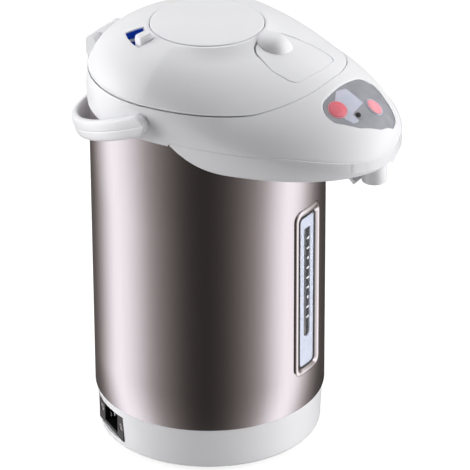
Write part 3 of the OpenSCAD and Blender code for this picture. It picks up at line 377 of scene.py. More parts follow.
# A profile (radius, height) turned about an axis through a point, the axis along +Z or along a given
# direction
def turned(name, corners, material, body, replaced=(), sides=180, centre=(0, 0, 0), axis=(0, 0, 1),
           closed=True, smooth=32.0):
    profile = rounded(corners)
    z = np.array(axis, float) / np.linalg.norm(axis)
    x = np.cross([0, 1.0, 0] if abs(z[1]) < 0.9 else [1.0, 0, 0], z)
    x = x / np.linalg.norm(x)
    y = np.cross(z, x)
    angle = np.arange(sides)[:, None] * 2 * np.pi / sides
    r, h = profile[None, :, 0], profile[None, :, 1]
    grid = np.array(centre, float) + (np.cos(angle) * r)[..., None] * x
    grid = grid + (np.sin(angle) * r)[..., None] * y + (h + 0 * angle)[..., None] * z
    return makePiece(name, grid, gridFaces(sides, len(profile), True, closed), material, body,
                     replaced, smooth)


# A closed outline in the YZ plane drawn along X, its ends bevelled by a modifier
def prism(name, outlineYz, x0, x1, material, body, bevel=0.5):
    yz = np.array(outlineYz, float)
    count = len(yz)
    points = np.concatenate([np.column_stack([np.full(count, x), yz]) for x in (x0, x1)])
    piece = makePiece(name, points, gridFaces(2, count, False, True), material, body, smooth=40,
                      loops=endLoops(2, count))
    edge = piece.modifiers.new("edge", "BEVEL")
    edge.width, edge.segments = bevel * mm, 3
    edge.limit_method, edge.angle_limit = "ANGLE", math.radians(50)
    return piece


def soften(v):  # a smooth step from 0 to 1
    v = np.clip(v, 0, 1)
    return v * v * (3 - 2 * v)


# The hull round discs (x, y, radius) by its support function: the distance to it is the largest of
# x cos t + y sin t - h(t), with h(t) the largest of cx cos t + cy sin t + r
def hullSupport(discs, count=240):
    t = np.arange(count) * 2 * np.pi / count
    d = np.array(discs, float)
    return t, (d[:, :1] * np.cos(t) + d[:, 1:2] * np.sin(t) + d[:, 2:3]).max(0)


def hullDistance(x, y, discs):
    t, h = hullSupport(discs)
    best = np.full(np.shape(x), -1e9)
    for angle, support in zip(t, h):
        best = np.maximum(best, x * math.cos(angle) + y * math.sin(angle) - support)
    return best


# Distance from a point (cx, cy) to the hull's edge, in the directions angle
def hullReach(angle, discs, cx, cy):
    t, h = hullSupport(discs, 720)
    facing = np.cos(t[None, :] - angle[:, None])
    gap = (h - cx * np.cos(t) - cy * np.sin(t))[None, :]
    return np.where(facing > 0.02, gap / np.maximum(facing, 0.02), 1e9).min(1)


# The head's form, by the same formula as the solids
casingLow, casingHigh = boxMm("steel_casing")
bodyR = casingHigh[0]
casingZ, topZ = casingLow[2], casingHigh[2]
head = {
    "flare": 3.5,          # how far the sides stand out from the casing
    "rear": 0.8,           # and the rear
    "reach": 161.0,        # snout's tip from the axis
    "domeUp": 64.7,        # dome above the casing's top
    "edgeUp": 14.2,        # widest line above the casing's top
    "noseTop": -3.3,
    "noseEdge": -17.0,
    "bellyDrop": 19.0,
    "outlinePower": 2.2,
    "rearPower": 2.5,
    "sidePower": 1.75,
    "ridgePower": 1.35,
    "ridgeRoot": 1.9,
    "blend": 70.0,
    "bellyIn": 8.5,
    "bellyPower": 1.6,
    "wall": 2.4,
    "seamUp": 28.6,        # lid seam above the casing's top
    "seamGap": 0.5,
    "lidReach": 109.0,
    "lidPower": 2.1,
    "partingUp": 3.7,
    "partingDrop": 12.0,
    "partingFrom": 105.0,
    "underStart": 24.0,
    "underEnd": 72.0,
    "hingeY": 94.5,
    "hingeZ": 316.4,
}
headA, headB, headRear = bodyR + head["flare"], head["reach"], bodyR + head["rear"]
domeZ, edgeZ = topZ + head["domeUp"], topZ + head["edgeUp"]
noseTopZ, noseEdgeZ = topZ + head["noseTop"], topZ + head["noseEdge"]
bellyZ, seamZ, collarZ = topZ - head["bellyDrop"], topZ + head["seamUp"], topZ + 0.2


def power(v, e):
    return np.sign(v) * np.abs(v) ** e


# Plan outline at angle phi from the front: a superellipse ahead of the axis, half an ellipse behind it
def outline(phi, a, b, rear):
    s, c = np.sin(phi), np.cos(phi)
    e = 2 / head["outlinePower"]
    return np.where(c > 0, a * power(s, e), a * s), np.where(c > 0, -b * np.abs(c) ** e, -rear * c)


def share(y, b):  # how far along the snout a point is, 0 at the axis and 1 at the tip
    return np.clip(-y / b, 0, 1)


def halfWidth(y, a, b, rear):
    p = head["outlinePower"]
    front = a * (1 - share(y, b) ** p) ** (1 / p)
    return np.where(y < 0, front, a * np.sqrt(np.maximum(0, 1 - (y / rear) ** 2)))


def widestZ(y):
    return edgeZ + (noseEdgeZ - edgeZ) * share(y, headB) ** 2


# Height of the upper skin: a ridge that falls to the nose and a power curve across it, set in by d
def skinZ(x, y, d=0.0):
    x, y = np.asarray(x, float), np.asarray(y, float)
    fall = (1 - share(y, headB - d) ** head["ridgePower"]) ** (1 / head["ridgeRoot"])
    ridge = noseTopZ + (domeZ - d - noseTopZ) * fall
    w = np.maximum(0.01, halfWidth(y, headA - d, headB - d, headRear - d))
    k = np.clip(-y / head["blend"], 0, 1)
    m = head["rearPower"] + (head["sidePower"] - head["rearPower"]) * k
    t = np.clip(np.abs(x) / w, 0, 1)
    front = widestZ(y) + (ridge - widestZ(y)) * (1 - t ** m) ** (1 / m)
    q = head["rearPower"]
    r = np.clip(np.hypot(x, y * headA / headRear) / (headA - d), 0, 1)
    rear = edgeZ + (domeZ - d - edgeZ) * (1 - r ** q) ** (1 / q)
    return np.where(y < 0, front, rear)


def skinNormal(x, y, h=0.4):
    n = joined((skinZ(x - h, y) - skinZ(x + h, y)) / (2 * h), (skinZ(x, y - h) - skinZ(x, y + h)) / (2 * h),
                  np.ones_like(np.asarray(x, float)))
    return n / np.linalg.norm(n, axis=-1, keepdims=True)


def tilt(x, y):  # turns a distance square to the skin into a height
    return np.clip(skinNormal(x, y)[..., 2], 0.35, 1)


# Distance from the axis to the lid's seam in the direction (sx, sy): where the skin passes a level,
# or the front's own curve where that comes first, the two joined over a few mm
def seamRadius(sx, sy, level, grow):
    low, high = np.full(sx.shape, 50.0), np.full(sx.shape, headB)
    for _ in range(40):
        mid = (low + high) / 2
        x, y = sx * mid, sy * mid
        above = (skinZ(x, y) > level) & (np.abs(x) < halfWidth(y, headA, headB, headRear))
        low, high = np.where(above, mid, low), np.where(above, high, mid)
    p = head["lidPower"]
    across, along = np.abs(sx / (headA + grow)), np.abs(np.minimum(sy, 0) / (head["lidReach"] + grow))
    curve = (across ** p + along ** p) ** (-1 / p)
    curve = np.where(sy < 0, curve, 1e3)
    soft = 3.0
    h = np.clip(0.5 + (curve - low) / (2 * soft), 0, 1)
    return curve + (low - curve) * h - soft * h * (1 - h)


# White paper floor and a pale room. The floor's lift is for the camera alone
stage = {"floor": "#8C8C8C", "lift": 0.84, "room": "#E9EDF3", "roomLight": 0.02}


def makeStage():
    material = bpy.data.materials.new("white paper floor")
    tree = emptyTree(material)
    path = addNode(tree, "ShaderNodeLightPath")
    paper = addNode(tree, "ShaderNodeBsdfDiffuse", Color=linear(stage["floor"]))
    glow = addNode(tree, "ShaderNodeEmission", Color=(1, 1, 1, 1))
    lift = addNode(tree, "ShaderNodeMath", {0: path.outputs["Is Camera Ray"]}, operation="MULTIPLY")
    lift.inputs[1].default_value = stage["lift"]
    tree.links.new(lift.outputs[0], glow.inputs["Strength"])
    both = addNode(tree, "ShaderNodeAddShader", {0: paper.outputs[0], 1: glow.outputs[0]})
    addNode(tree, "ShaderNodeOutputMaterial", {"Surface": both.outputs[0]})
    mesh = bpy.data.meshes.new("floor")
    mesh.from_pydata([(-6, -6, 0), (6, -6, 0), (6, 6, 0), (-6, 6, 0)], [], [(0, 1, 2, 3)])
    mesh.materials.append(material)
    floor = addObject("floor", mesh)
    floor.visible_glossy = False

    world = bpy.data.worlds.new("studio")
    bpy.context.scene.world = world
    tree = emptyTree(world)
    path = addNode(tree, "ShaderNodeLightPath")
    seen = twoNumbers(tree, "MAXIMUM", path.outputs["Is Camera Ray"], path.outputs["Is Glossy Ray"])
    seen = twoNumbers(tree, "MAXIMUM", seen, path.outputs["Is Transmission Ray"])
    room = addNode(tree, "ShaderNodeBackground", Color=linear(stage["room"]), Strength=stage["roomLight"])
    white = addNode(tree, "ShaderNodeBackground", Color=(1, 1, 1, 1), Strength=1.0)
    mix = addNode(tree, "ShaderNodeMixShader", {0: seen, 1: room.outputs[0], 2: white.outputs[0]})
    addNode(tree, "ShaderNodeOutputWorld", {"Surface": mix.outputs[0]})


# Soft boxes: bearing from the camera in degrees, power in W, the rest in m; aim is the height it points at
# on the axis
lamps = {
    "left": {"bearing": -100, "height": 0.62, "away": 1.5, "size": (1.0, 1.6), "power": 28, "aim": 0.17},
    "leftFront": {"bearing": -72, "height": 0.62, "away": 1.5, "size": (0.8, 1.4), "power": 5, "aim": 0.17},
    "right": {"bearing": 88, "height": 0.7, "away": 1.5, "size": (1.0, 1.6), "power": 31, "aim": 0.17},
    "back": {"bearing": 180, "height": 1.45, "away": 1.25, "size": (1.6, 1.2), "power": 20, "aim": 0.17},
    "card": {"bearing": 2, "height": 0.06, "away": 0.55, "size": (0.4, 0.1), "power": 0.75, "aim": 0.03},
}


def makeLamps():
    for name, v in lamps.items():
        data = bpy.data.lights.new(name, "AREA")
        data.shape = "RECTANGLE"
        data.size, data.size_y = v["size"]
        data.energy = v["power"]
        lamp = addObject(name, data)
        a = math.radians(cameraView["azimuth"] + v["bearing"])
        place = np.array([math.sin(a) * v["away"], -math.cos(a) * v["away"], v["height"]])
        z = place - np.array([0, 0, v["aim"]])
        z = z / np.linalg.norm(z)
        x = np.cross([0, 0, 1.0], z)
        x = x / np.linalg.norm(x)
        setPlace(lamp, x, np.cross(z, x), z, place)
        lamp.visible_glossy = False


# The tent round the table that glossy surfaces mirror: bearing from the camera in degrees, and brightness
tent = {
    "radius": 1.15,
    "low": -2.2,
    "high": 2.6,
    "dark": (1.0, 0.87, 0.80),
    "light": (1.0, 0.965, 1.0),
    "marks": [(-180, 0.12), (-150, 0.13), (-139, 0.25), (-129, 0.54), (-116, 1.17), (-106, 1.77),
              (-97, 1.92), (-83, 1.64), (-70, 1.15),
              (-59, 0.676), (-48, 0.40), (-37, 0.231), (-27, 0.126), (-17, 0.073), (-7, 0.052), (2, 0.056),
              (12, 0.084), (22, 0.145),
              (32, 0.257), (42, 0.416), (53, 0.725), (65, 1.36), (77, 1.88), (86, 1.90), (96, 1.55),
              (108, 0.85), (122, 0.35),
              (138, 0.12), (156, 0.07), (180, 0.12)],
}


def makeTent():
    sides = 128
    material = bpy.data.materials.new("tent cloth")
    tree = emptyTree(material)
    place = objectPlace(tree)
    split = addNode(tree, "ShaderNodeSeparateXYZ", {"Vector": place})
    angle = twoNumbers(tree, "ARCTAN2", split.outputs["X"], split.outputs["Y"])
    turn = addNode(tree, "ShaderNodeMapRange", {"Value": angle}, From_Min=-math.pi, From_Max=math.pi)
    stops = []
    for bearing, bright in tent["marks"]:
        k = min(1, bright / 1.2)
        tint = [d + (l - d) * k for d, l in zip(tent["dark"], tent["light"])]
        stops.append(((bearing + 180) / 360, (*[bright / 2 * c for c in tint], 1.0)))
    colour = ramp(tree, turn.outputs["Result"], stops)
    glow = addNode(tree, "ShaderNodeEmission", {"Color": colour}, Strength=2.0)
    addNode(tree, "ShaderNodeOutputMaterial", {"Surface": glow.outputs[0]})
    # built with the camera's direction along its own +Y, then turned in place: bearings grow to the
    # camera's right
    a = np.arange(sides) * 2 * np.pi / sides
    ring = joined(np.sin(a) * tent["radius"], np.cos(a) * tent["radius"])
    levels = (tent["low"], tent["high"])
    points = np.concatenate([np.column_stack([ring, np.full(sides, h)]) for h in levels])
    i = np.arange(sides)
    j = (i + 1) % sides
    mesh = bpy.data.meshes.new("tent")
    mesh.from_pydata(points.tolist(), [], joined(i, j, j + sides, i + sides).tolist())
    mesh.materials.append(material)
    cloth = addObject("tent", mesh)
    spin = Matrix.Rotation(math.radians(cameraView["azimuth"] + 180), 4, "Z")
    cloth.matrix_world = spin @ Matrix.Scale(-1, 4, (1, 0, 0))
    for ray in ("camera", "diffuse", "shadow", "transmission", "volume_scatter"):
        setattr(cloth, "visible_" + ray, False)


makeStage()
makeLamps()
makeTent()
print("floor, lamps and tent set")


# Casing: a cylinder, angle by a closed ring of outer and inner wall, with an opening behind the window
casing = {"sides": 720, "wall": 1.0, "roll": 0.35, "windowSide": 3.6, "windowEnd": 2.6, "openSteps": 24}


def makeCasing():
    low, high = boxMm("window_frame")
    half = math.degrees(math.asin(((high[0] - low[0]) / 2 - casing["windowSide"]) / bodyR))
    front = 270 + math.degrees(math.atan2((high[0] + low[0]) / 2, bodyR))
    columns = casing["openSteps"]
    inside = np.linspace(front - half, front + half, columns + 1)
    outside = np.linspace(front + half, front - half + 360, casing["sides"])[1:-1]
    angle = np.radians(np.concatenate([inside, outside]))
    e, inner = casing["roll"], bodyR - casing["wall"]
    sill, lintel = low[2] + casing["windowEnd"], high[2] - casing["windowEnd"]
    z = np.array([casingZ, casingZ + 0.1, casingZ + e, sill, lintel, topZ - e, topZ - 0.1, topZ, topZ,
                  lintel, sill, casingZ])
    r = np.array([bodyR - e, bodyR - 0.28 * e, bodyR, bodyR, bodyR, bodyR, bodyR - 0.28 * e, bodyR - e,
                  inner, inner, inner, inner])
    n, m = len(angle), len(z)
    faces = gridFaces(n, m, True, True).reshape(n, m, 4)
    # rows 3 and 4 are the opening's sill and lintel on the outer wall, 10 and 9 on the inner wall
    keep = np.ones((n, m), bool)
    keep[:columns, 3] = keep[:columns, 9] = False
    every = np.concatenate([faces[keep], openingFaces(n, m, columns, 3, 4, 9, 10)])
    makePiece("steelCasing", roundAxis(angle, r, z), every, "casingSteel", "pot",
              ("steel_casing",), smooth=40)


makeCasing()


# Level window: a pressed frame, a gasket and a scale plate, as rings of rounded rectangles laid on the
# cylinder
window = {
    "turn": -1.0,            # degrees from the front
    "rise": 1.6,             # crown of the frame above the casing
    "outerRound": 8.0,
    "innerRound": 3.6,
    "slotHalf": 4.5,
    "slotLow": 99.0,
    "slotHigh": 195.0,
    "plateDepth": 1.1,       # plate behind the casing's surface
    "plateOut": 14.4,        # half width of the plate
    "plateMore": 2.2,        # plate beyond the frame's opening
    "plateRound": 3.0,
    "markCount": 9,
    "markDots": (2, 6),      # marks that are round
    "dotHalf": (1.3, 1.3),   # half width and half height
    "tickHalf": (2.1, 0.8),
    "markFront": -0.55,
    "markBack": -0.67,
    "markStep": 8.66,
    "markTop": 185.8,
}
frameLow, frameHigh = boxMm("window_frame")
frameHalf = (frameHigh[0] - frameLow[0]) / 2 + 0.1
openHalf = 11.6  # half width of the opening in the frame
openLow, openHigh = frameLow[2] + 5, frameHigh[2] - 7


def roundRect(half, low, high, r, steps=8, side=12):  # points (across, height) round a rectangle
    corners = [(half - r, high - r, 0), (-half + r, high - r, 90), (-half + r, low + r, 180),
               (half - r, low + r, 270)]
    points = []
    for k, (cx, cz, start) in enumerate(corners):
        a = np.radians(np.linspace(start, start + 90, steps + 1))
        arc = joined(cx + r * np.cos(a), cz + r * np.sin(a))
        nx, nz, follow = corners[(k + 1) % 4]
        b = math.radians(follow)
        goal = np.array([nx + r * math.cos(b), nz + r * math.sin(b)])
        t = np.linspace(0, 1, side + 1)[1:-1, None]
        points += [arc, arc[-1] + (goal - arc[-1]) * t]
    return np.concatenate(points)


# Across and height on the window to a place in space, out from the casing's surface
def onWindow(across, height, out):
    r = bodyR + out
    a = math.radians(-90 + window["turn"]) + np.asarray(across) / bodyR
    return joined(r * np.cos(a), r * np.sin(a), height + 0 * a)


def makeWindow():
    def ring(f, out, grow=0.0):  # f is 0 at the frame's outer edge and 1 at its opening
        half = frameHalf + (openHalf - frameHalf) * f + grow
        low = frameLow[2] + (openLow - frameLow[2]) * f - grow
        high = frameHigh[2] + (openHigh - frameHigh[2]) * f + grow
        r = window["outerRound"] + (window["innerRound"] - window["outerRound"]) * f
        points = roundRect(half, low, high, r)
        return onWindow(points[:, 0], points[:, 1], out)

    k = window["rise"]
    section = [(0.0, 0.05), (0.02, 0.22), (0.10, 0.62 * k), (0.20, 0.88 * k), (0.32, k), (0.46, k),
               (0.58, 0.9 * k), (0.70, 0.55 * k),
               (0.80, 0.25 * k), (0.90, -0.05 * k), (0.97, -0.3 * k), (1.0, -0.5 * k), (1.0, -1.75),
               (0.62, -1.75), (0.62, 0.04), (0.3, 0.04)]
    grid = np.stack([ring(f, out) for f, out in section], 1)
    n, m = grid.shape[:2]
    makePiece("windowFrame", grid, gridFaces(n, m, True, True), "brightTrim", "pot",
              ("window_frame",), smooth=50)
    section = [(-0.05, -1.05), (-0.05, -0.6), (-0.35, -0.35), (-1.25, -0.35), (-1.5, -0.6), (-1.5, -1.05)]
    grid = np.stack([ring(1.0, out, grow) for grow, out in section], 1)
    makePiece("windowGasket", grid, gridFaces(grid.shape[0], len(section), True, True), "blackRubber",
              "pot", smooth=50)

    # plate: from its outer rim to the slot, front and back
    d = window["plateDepth"]
    outer = roundRect(window["plateOut"], openLow - window["plateMore"], openHigh + window["plateMore"],
                      window["plateRound"])
    inner = roundRect(window["slotHalf"], window["slotLow"], window["slotHigh"], window["slotHalf"] - 0.02)
    middle = (window["slotLow"] + window["slotHigh"]) / 2
    flat = inner[:, 1] > middle
    square = roundRect(window["slotHalf"], window["slotLow"], window["slotHigh"], 0.4)
    inner[flat] = square[flat]
    rings = [onWindow(*(outer + (inner - outer) * t).T, -d) for t in np.linspace(0, 1, 5)]
    rings += [onWindow(*(outer + (inner - outer) * t).T, -d - 1.0) for t in np.linspace(1, 0, 5)]
    grid = np.stack(rings, 1)
    makePiece("scalePlate", grid, gridFaces(grid.shape[0], grid.shape[1], True, True), "scalePlate", "pot",
              ("scale_plate",), smooth=50)

    # ticks and dots printed behind the pane: nine thin pills, two of them round
    marks, count = [], window["markCount"]
    levels = [(0, window["markFront"]), (1, window["markFront"]), (1, window["markBack"]),
              (0, window["markBack"])]
    for k in range(count):
        z = window["markTop"] - window["markStep"] * k
        half, tall = window["dotHalf"] if k in window["markDots"] else window["tickHalf"]
        points = roundRect(half, z - tall, z + tall, tall * 0.98, 4, 3)
        pill = [onWindow(*(np.array([0.2, z]) + (points - [0, z]) * s).T, out) for s, out in levels]
        marks.append(np.stack(pill, 1))
    n, m = marks[0].shape[:2]
    faces = np.concatenate([gridFaces(n, m, True, False, k * n * m) for k in range(count)])
    makePiece("scaleMarks", np.concatenate([p.reshape(-1, 3) for p in marks]), faces, "markWhite", "pot",
              smooth=50)


makeWindow()

# Base: a turned wall with a rounded foot, angle by profile, with an opening for the power inlet
base = {"inset": 1.3, "foot": 1.7, "round": 7.0, "wall": 2.6, "floor": 2.5, "inletHalf": 23.3,
        "openSteps": 40}


def makeBase():
    low, high = boxMm("inlet_socket")
    r1 = bodyR - base["inset"]
    r0 = r1 - base["foot"]
    z0, w = base["floor"], base["wall"]
    low2, high2 = low[2] - 0.25, high[2] + 0.25
    centre = math.atan2((low[1] + high[1]) / 2, (low[0] + high[0]) / 2)
    half = math.asin(base["inletHalf"] / r1)
    columns = base["openSteps"]
    inside = np.linspace(centre - half, centre + half, columns + 1)
    outside = np.linspace(centre + half, centre - half + 2 * np.pi, 680)[1:-1]
    angle = np.concatenate([inside, outside])
    slope = (r1 - r0) / (casingZ - z0 - base["round"])

    def side(z):
        return r0 + slope * max(0.0, z - z0 - base["round"])

    corners = [(60, z0, 0), (r0, z0, base["round"]), (side(low2), low2, 0), (side(high2), high2, 0),
               (r1, casingZ - 0.15, 0.7), (r1 - w, casingZ - 0.15, 0.3), (side(high2) - w, high2, 0),
               (side(low2) - w, low2, 0), (r0 - w, z0 + w, base["round"] - w), (60, z0 + w, 0)]
    profile = rounded(corners, 8)
    n, m = len(angle), len(profile)
    grid = roundAxis(angle, profile[:, 0], profile[:, 1])
    faces = gridFaces(n, m, True, True).reshape(n, m, 4)
    after = np.roll(profile, -1, 0)
    mid = (profile[:, 1] + after[:, 1]) / 2
    hole = (mid > low2) & (mid < high2) & (profile[:, 0] > 75) & (after[:, 0] > 75)
    keep = np.ones((n, m), bool)
    keep[:columns, hole] = False
    outer = [k for k in range(m) if hole[k] and profile[k, 1] < after[k, 1]]
    inner = [k for k in range(m) if hole[k] and profile[k, 1] > after[k, 1]]
    edges = openingFaces(n, m, columns, outer[0], outer[-1] + 1, inner[0], inner[-1] + 1)
    makePiece("baseShell", grid, np.concatenate([faces[keep], edges]), "whiteAbs", "pot",
              ("base_shell",), smooth=35)


makeBase()
print("casing, window and base made")

# Lid: angle by a closed ring of well rim, skin, edge, seam face and inner skin. The lever's bed and the
# lock's slot are pressed in
lid = {
    "sides": 500, "finer": 0.45, "rings": 160, "wellR": 44.6, "wellWall": 2.0, "rimDrop": 3.6,
    "blend": 15.0, "round": 0.6,
    "hingeHalf": 21.0, "hingeFront": 88.6, "bedDepth": 3.4, "bedGap": 0.45,
    "bedSlope": 0.12, "bedSlopeFrom": -74.0, "gapMore": 0.9, "gapFrom": -66.0, "gapOver": 8.0,
    "lockIn": 48.5, "lockOut": 63.0, "lockLow": 24.0, "lockHigh": 51.0, "lockDrop": 15.9,
    "lockFloor": 1.2, "under": 5.0,
}
leverDiscs = [(15.5, -62, 12), (-7.5, -62, 12), (-16.5, -75, 9), (-16, -86.5, 9.5), (4, -88, 11),
              (24, -86.5, 9.5), (24.5, -75, 9)]


# How far the lid's skin is raised round the pump plate, so that it runs into the rim without a step
def rimLift(x, y):
    v = lid
    r = np.maximum(1e-6, np.hypot(x, y))
    wall = v["wellR"] + v["wellWall"]
    foot = skinZ(x / r * wall, y / r * wall)
    s = np.clip(1 - (r - wall) / v["blend"], 0, 1)
    return np.maximum(0, domeZ - v["rimDrop"] - foot) * s * s


# 1 inside the lock's slot, 0 outside, with a soft edge
def lockRecess(x, y):
    v = lid
    r = np.hypot(x, y)
    a = np.degrees(np.arctan2(y, -x))
    edge = np.minimum(np.minimum(r - v["lockIn"], v["lockOut"] - r),
                      np.minimum(a - v["lockLow"], v["lockHigh"] - a) * np.pi / 180 * r)
    return soften(edge / 0.6)


def makeLid():
    v = lid
    n = v["sides"]
    even = np.arange(n) * 2 * np.pi / n
    theta = even - v["finer"] * np.sin(even)
    sx, sy = np.sin(theta), -np.cos(theta)
    edge = seamRadius(sx, sy, seamZ + head["seamGap"] / 2, 0.0)
    nearHinge = (sy > 0) & (np.abs(sx * edge) < v["hingeHalf"])
    edge = np.where(nearHinge, np.minimum(edge, v["hingeFront"] / np.maximum(0.1, sy)), edge)
    wellOut = v["wellR"] + v["wellWall"]
    rimZ = domeZ - v["rimDrop"]
    seamTop = seamZ + head["seamGap"] / 2
    start = wellOut + 0.25
    t = np.linspace(0, 1, v["rings"])[None, :]
    radius = start + (edge[:, None] - v["round"] - start) * (1 - (1 - t) ** 1.15)
    x, y = sx[:, None] * radius, sy[:, None] * radius
    z = skinZ(x, y) + rimLift(x, y)
    # the lever's bed is deeper and wider towards the pump plate, where the pressed lever dips
    depth = v["bedDepth"] + v["bedSlope"] * np.maximum(0, y - v["bedSlopeFrom"])
    gap = v["bedGap"] + v["gapMore"] * soften((y - v["gapFrom"]) / v["gapOver"])
    z = z - depth * soften((gap - hullDistance(x, y, leverDiscs)) / 0.35)
    z = z + (domeZ - v["lockDrop"] - z) * lockRecess(x, y)
    z = np.maximum(z, seamTop + 0.4)
    ones = np.ones(n)
    footZ = skinZ(sx * start, sy * start) + rimLift(sx * start, sy * start)
    rimR = np.outer(ones, [v["wellR"], v["wellR"] + 0.12, v["wellR"] + 0.5])
    rimTop = np.maximum(rimZ, footZ)[:, None] + np.array([-0.6, -0.12, 0.0])[None, :]
    arc = np.radians(np.linspace(15, 90, 5))[None, :]
    top = skinZ(sx * (edge - v["round"]), sy * (edge - v["round"]))[:, None]
    cornerR = edge[:, None] - v["round"] * (1 - np.sin(arc))
    cornerZ = np.maximum(top - v["round"] * (1 - np.cos(arc)), seamTop + 0.2)
    downR = np.stack([edge, edge - 0.25, edge - head["wall"]], 1)
    downZ = np.outer(ones, [seamTop + 0.25, seamTop, seamTop])
    inward = np.linspace(1, 0, 24)[None, :]
    innerR = wellOut + (edge[:, None] - head["wall"] - wellOut) * inward
    innerZ = skinZ(sx[:, None] * innerR, sy[:, None] * innerR) - head["wall"] - v["under"]
    innerZ = np.maximum(np.minimum(innerZ, domeZ - v["lockDrop"] - v["lockFloor"]), seamTop)
    lastR = np.outer(ones, [wellOut, v["wellR"]])
    lastZ = np.full((n, 2), seamZ + 3.0)
    allR = np.concatenate([rimR, radius, cornerR, downR, innerR, lastR], 1)
    allZ = np.concatenate([rimTop, z, cornerZ, downZ, innerZ, lastZ], 1)
    grid = joined(sx[:, None] * allR, sy[:, None] * allR, allZ)
    makePiece("lidCover", grid, gridFaces(n, allR.shape[1], True, True), "whiteAbs", "lid",
              ("lid_cover",), smooth=40)


makeLid()


# A plate that follows the skin: angle by distance from its middle out to the hull of its discs, a rounded
# edge and a flat back
def patch(name, discs, top, thickness, material, body, replaced=(), rings=40, sides=240, edge=0.4,
          lift=None):
    cx, cy = np.mean([d[:2] for d in discs], 0)
    angle = np.arange(sides) * 2 * np.pi / sides
    ux, uy = np.cos(angle)[:, None], np.sin(angle)[:, None]
    reach = hullReach(angle, discs, cx, cy)[:, None]
    t = np.linspace(0, 1, rings)[None, :]
    arc = np.radians([20, 45, 70, 90])
    back = t[:, ::-4]
    r = np.concatenate([(reach - edge) * t, reach - edge * (1 - np.sin(arc)), reach, reach * back], 1)
    x, y = cx + ux * r, cy + uy * r
    z = skinZ(x, y) + (lift(x, y) if lift else 0)
    drop = np.concatenate([np.zeros(rings), edge * (1 - np.cos(arc)), [thickness],
                           np.full(back.shape[1], thickness)])
    grid = joined(x, y, z + (top - drop) / tilt(x, y))
    return makePiece(name, grid, gridFaces(sides, r.shape[1], True, False), material, body, replaced,
                     smooth=40)


# Round grip: a dome on the lever, angle by distance, height from a circle's arc, its foot rounded into the
# lever
grip = {"x": 4.0, "y": -57.5, "radius": 14.0, "height": 7.6, "sink": 5.0, "wellClear": 48.5, "foot": 1.8}


def makeLever():
    patch("lidLever", leverDiscs, 0.0, 2.2, "whiteAbs", "lever", ("lid_lever",), rings=60,
          sides=360, lift=rimLift)
    g = grip
    sides, rings = 200, 40
    a = np.arange(sides) * 2 * np.pi / sides
    t = np.sin(np.linspace(0, np.pi / 2, rings))[None, :]
    ux, uy = np.cos(a)[:, None], np.sin(a)[:, None]
    # the dome stops short of the pump's rim
    b = ux * g["x"] + uy * g["y"]
    c = g["x"] ** 2 + g["y"] ** 2 - g["wellClear"] ** 2
    toRim = np.where((b < 0) & (b * b > c), -b - np.sqrt(np.maximum(0, b * b - c)), 1e3)
    reach = np.minimum(g["radius"], toRim)
    r = reach * t
    x, y = g["x"] + ux * r, g["y"] + uy * r
    ball = math.hypot(g["radius"], g["sink"])
    rise = np.sqrt(ball ** 2 - np.minimum(r, g["radius"]) ** 2) - g["sink"]
    rise = rise * g["height"] / (ball - g["sink"])
    low = skinZ(g["x"], g["y"]) + rimLift(g["x"], g["y"])
    under = skinZ(x, y) + rimLift(x, y)
    z = np.maximum(low + (under - low) * (0.35 + 0.65 * (r / g["radius"]) ** 2) + rise, under - 0.5)
    foot = joined(x[:, -1], y[:, -1], under[:, -1] - g["foot"])[:, None, :]
    middle = np.tile(np.array([g["x"], g["y"], float(low) - g["foot"]]), (sides, 1, 1))
    grid = np.concatenate([joined(x, y, z), foot, middle], 1)
    makePiece("leverGrip", grid, gridFaces(sides, grid.shape[1], True, False), "whiteAbs", "lever",
              smooth=60)


makeLever()

# Lock tab: a block that stands out of its slot on a thin slide, its height following the lid
lock = {"in": 49.5, "out": 60.0, "angle": 30.0, "span": 9.0, "proud": 4.8, "slideIn": 47.1,
        "slideOut": 51.5, "slideSpan": 30.0, "slideTop": 1.8,
        "wallIn": 49.3, "wallOut": 62.5, "wallFrom": 50.2, "wallTo": 50.7, "wallSteps": 30,
        "wallUnder": 0.7}


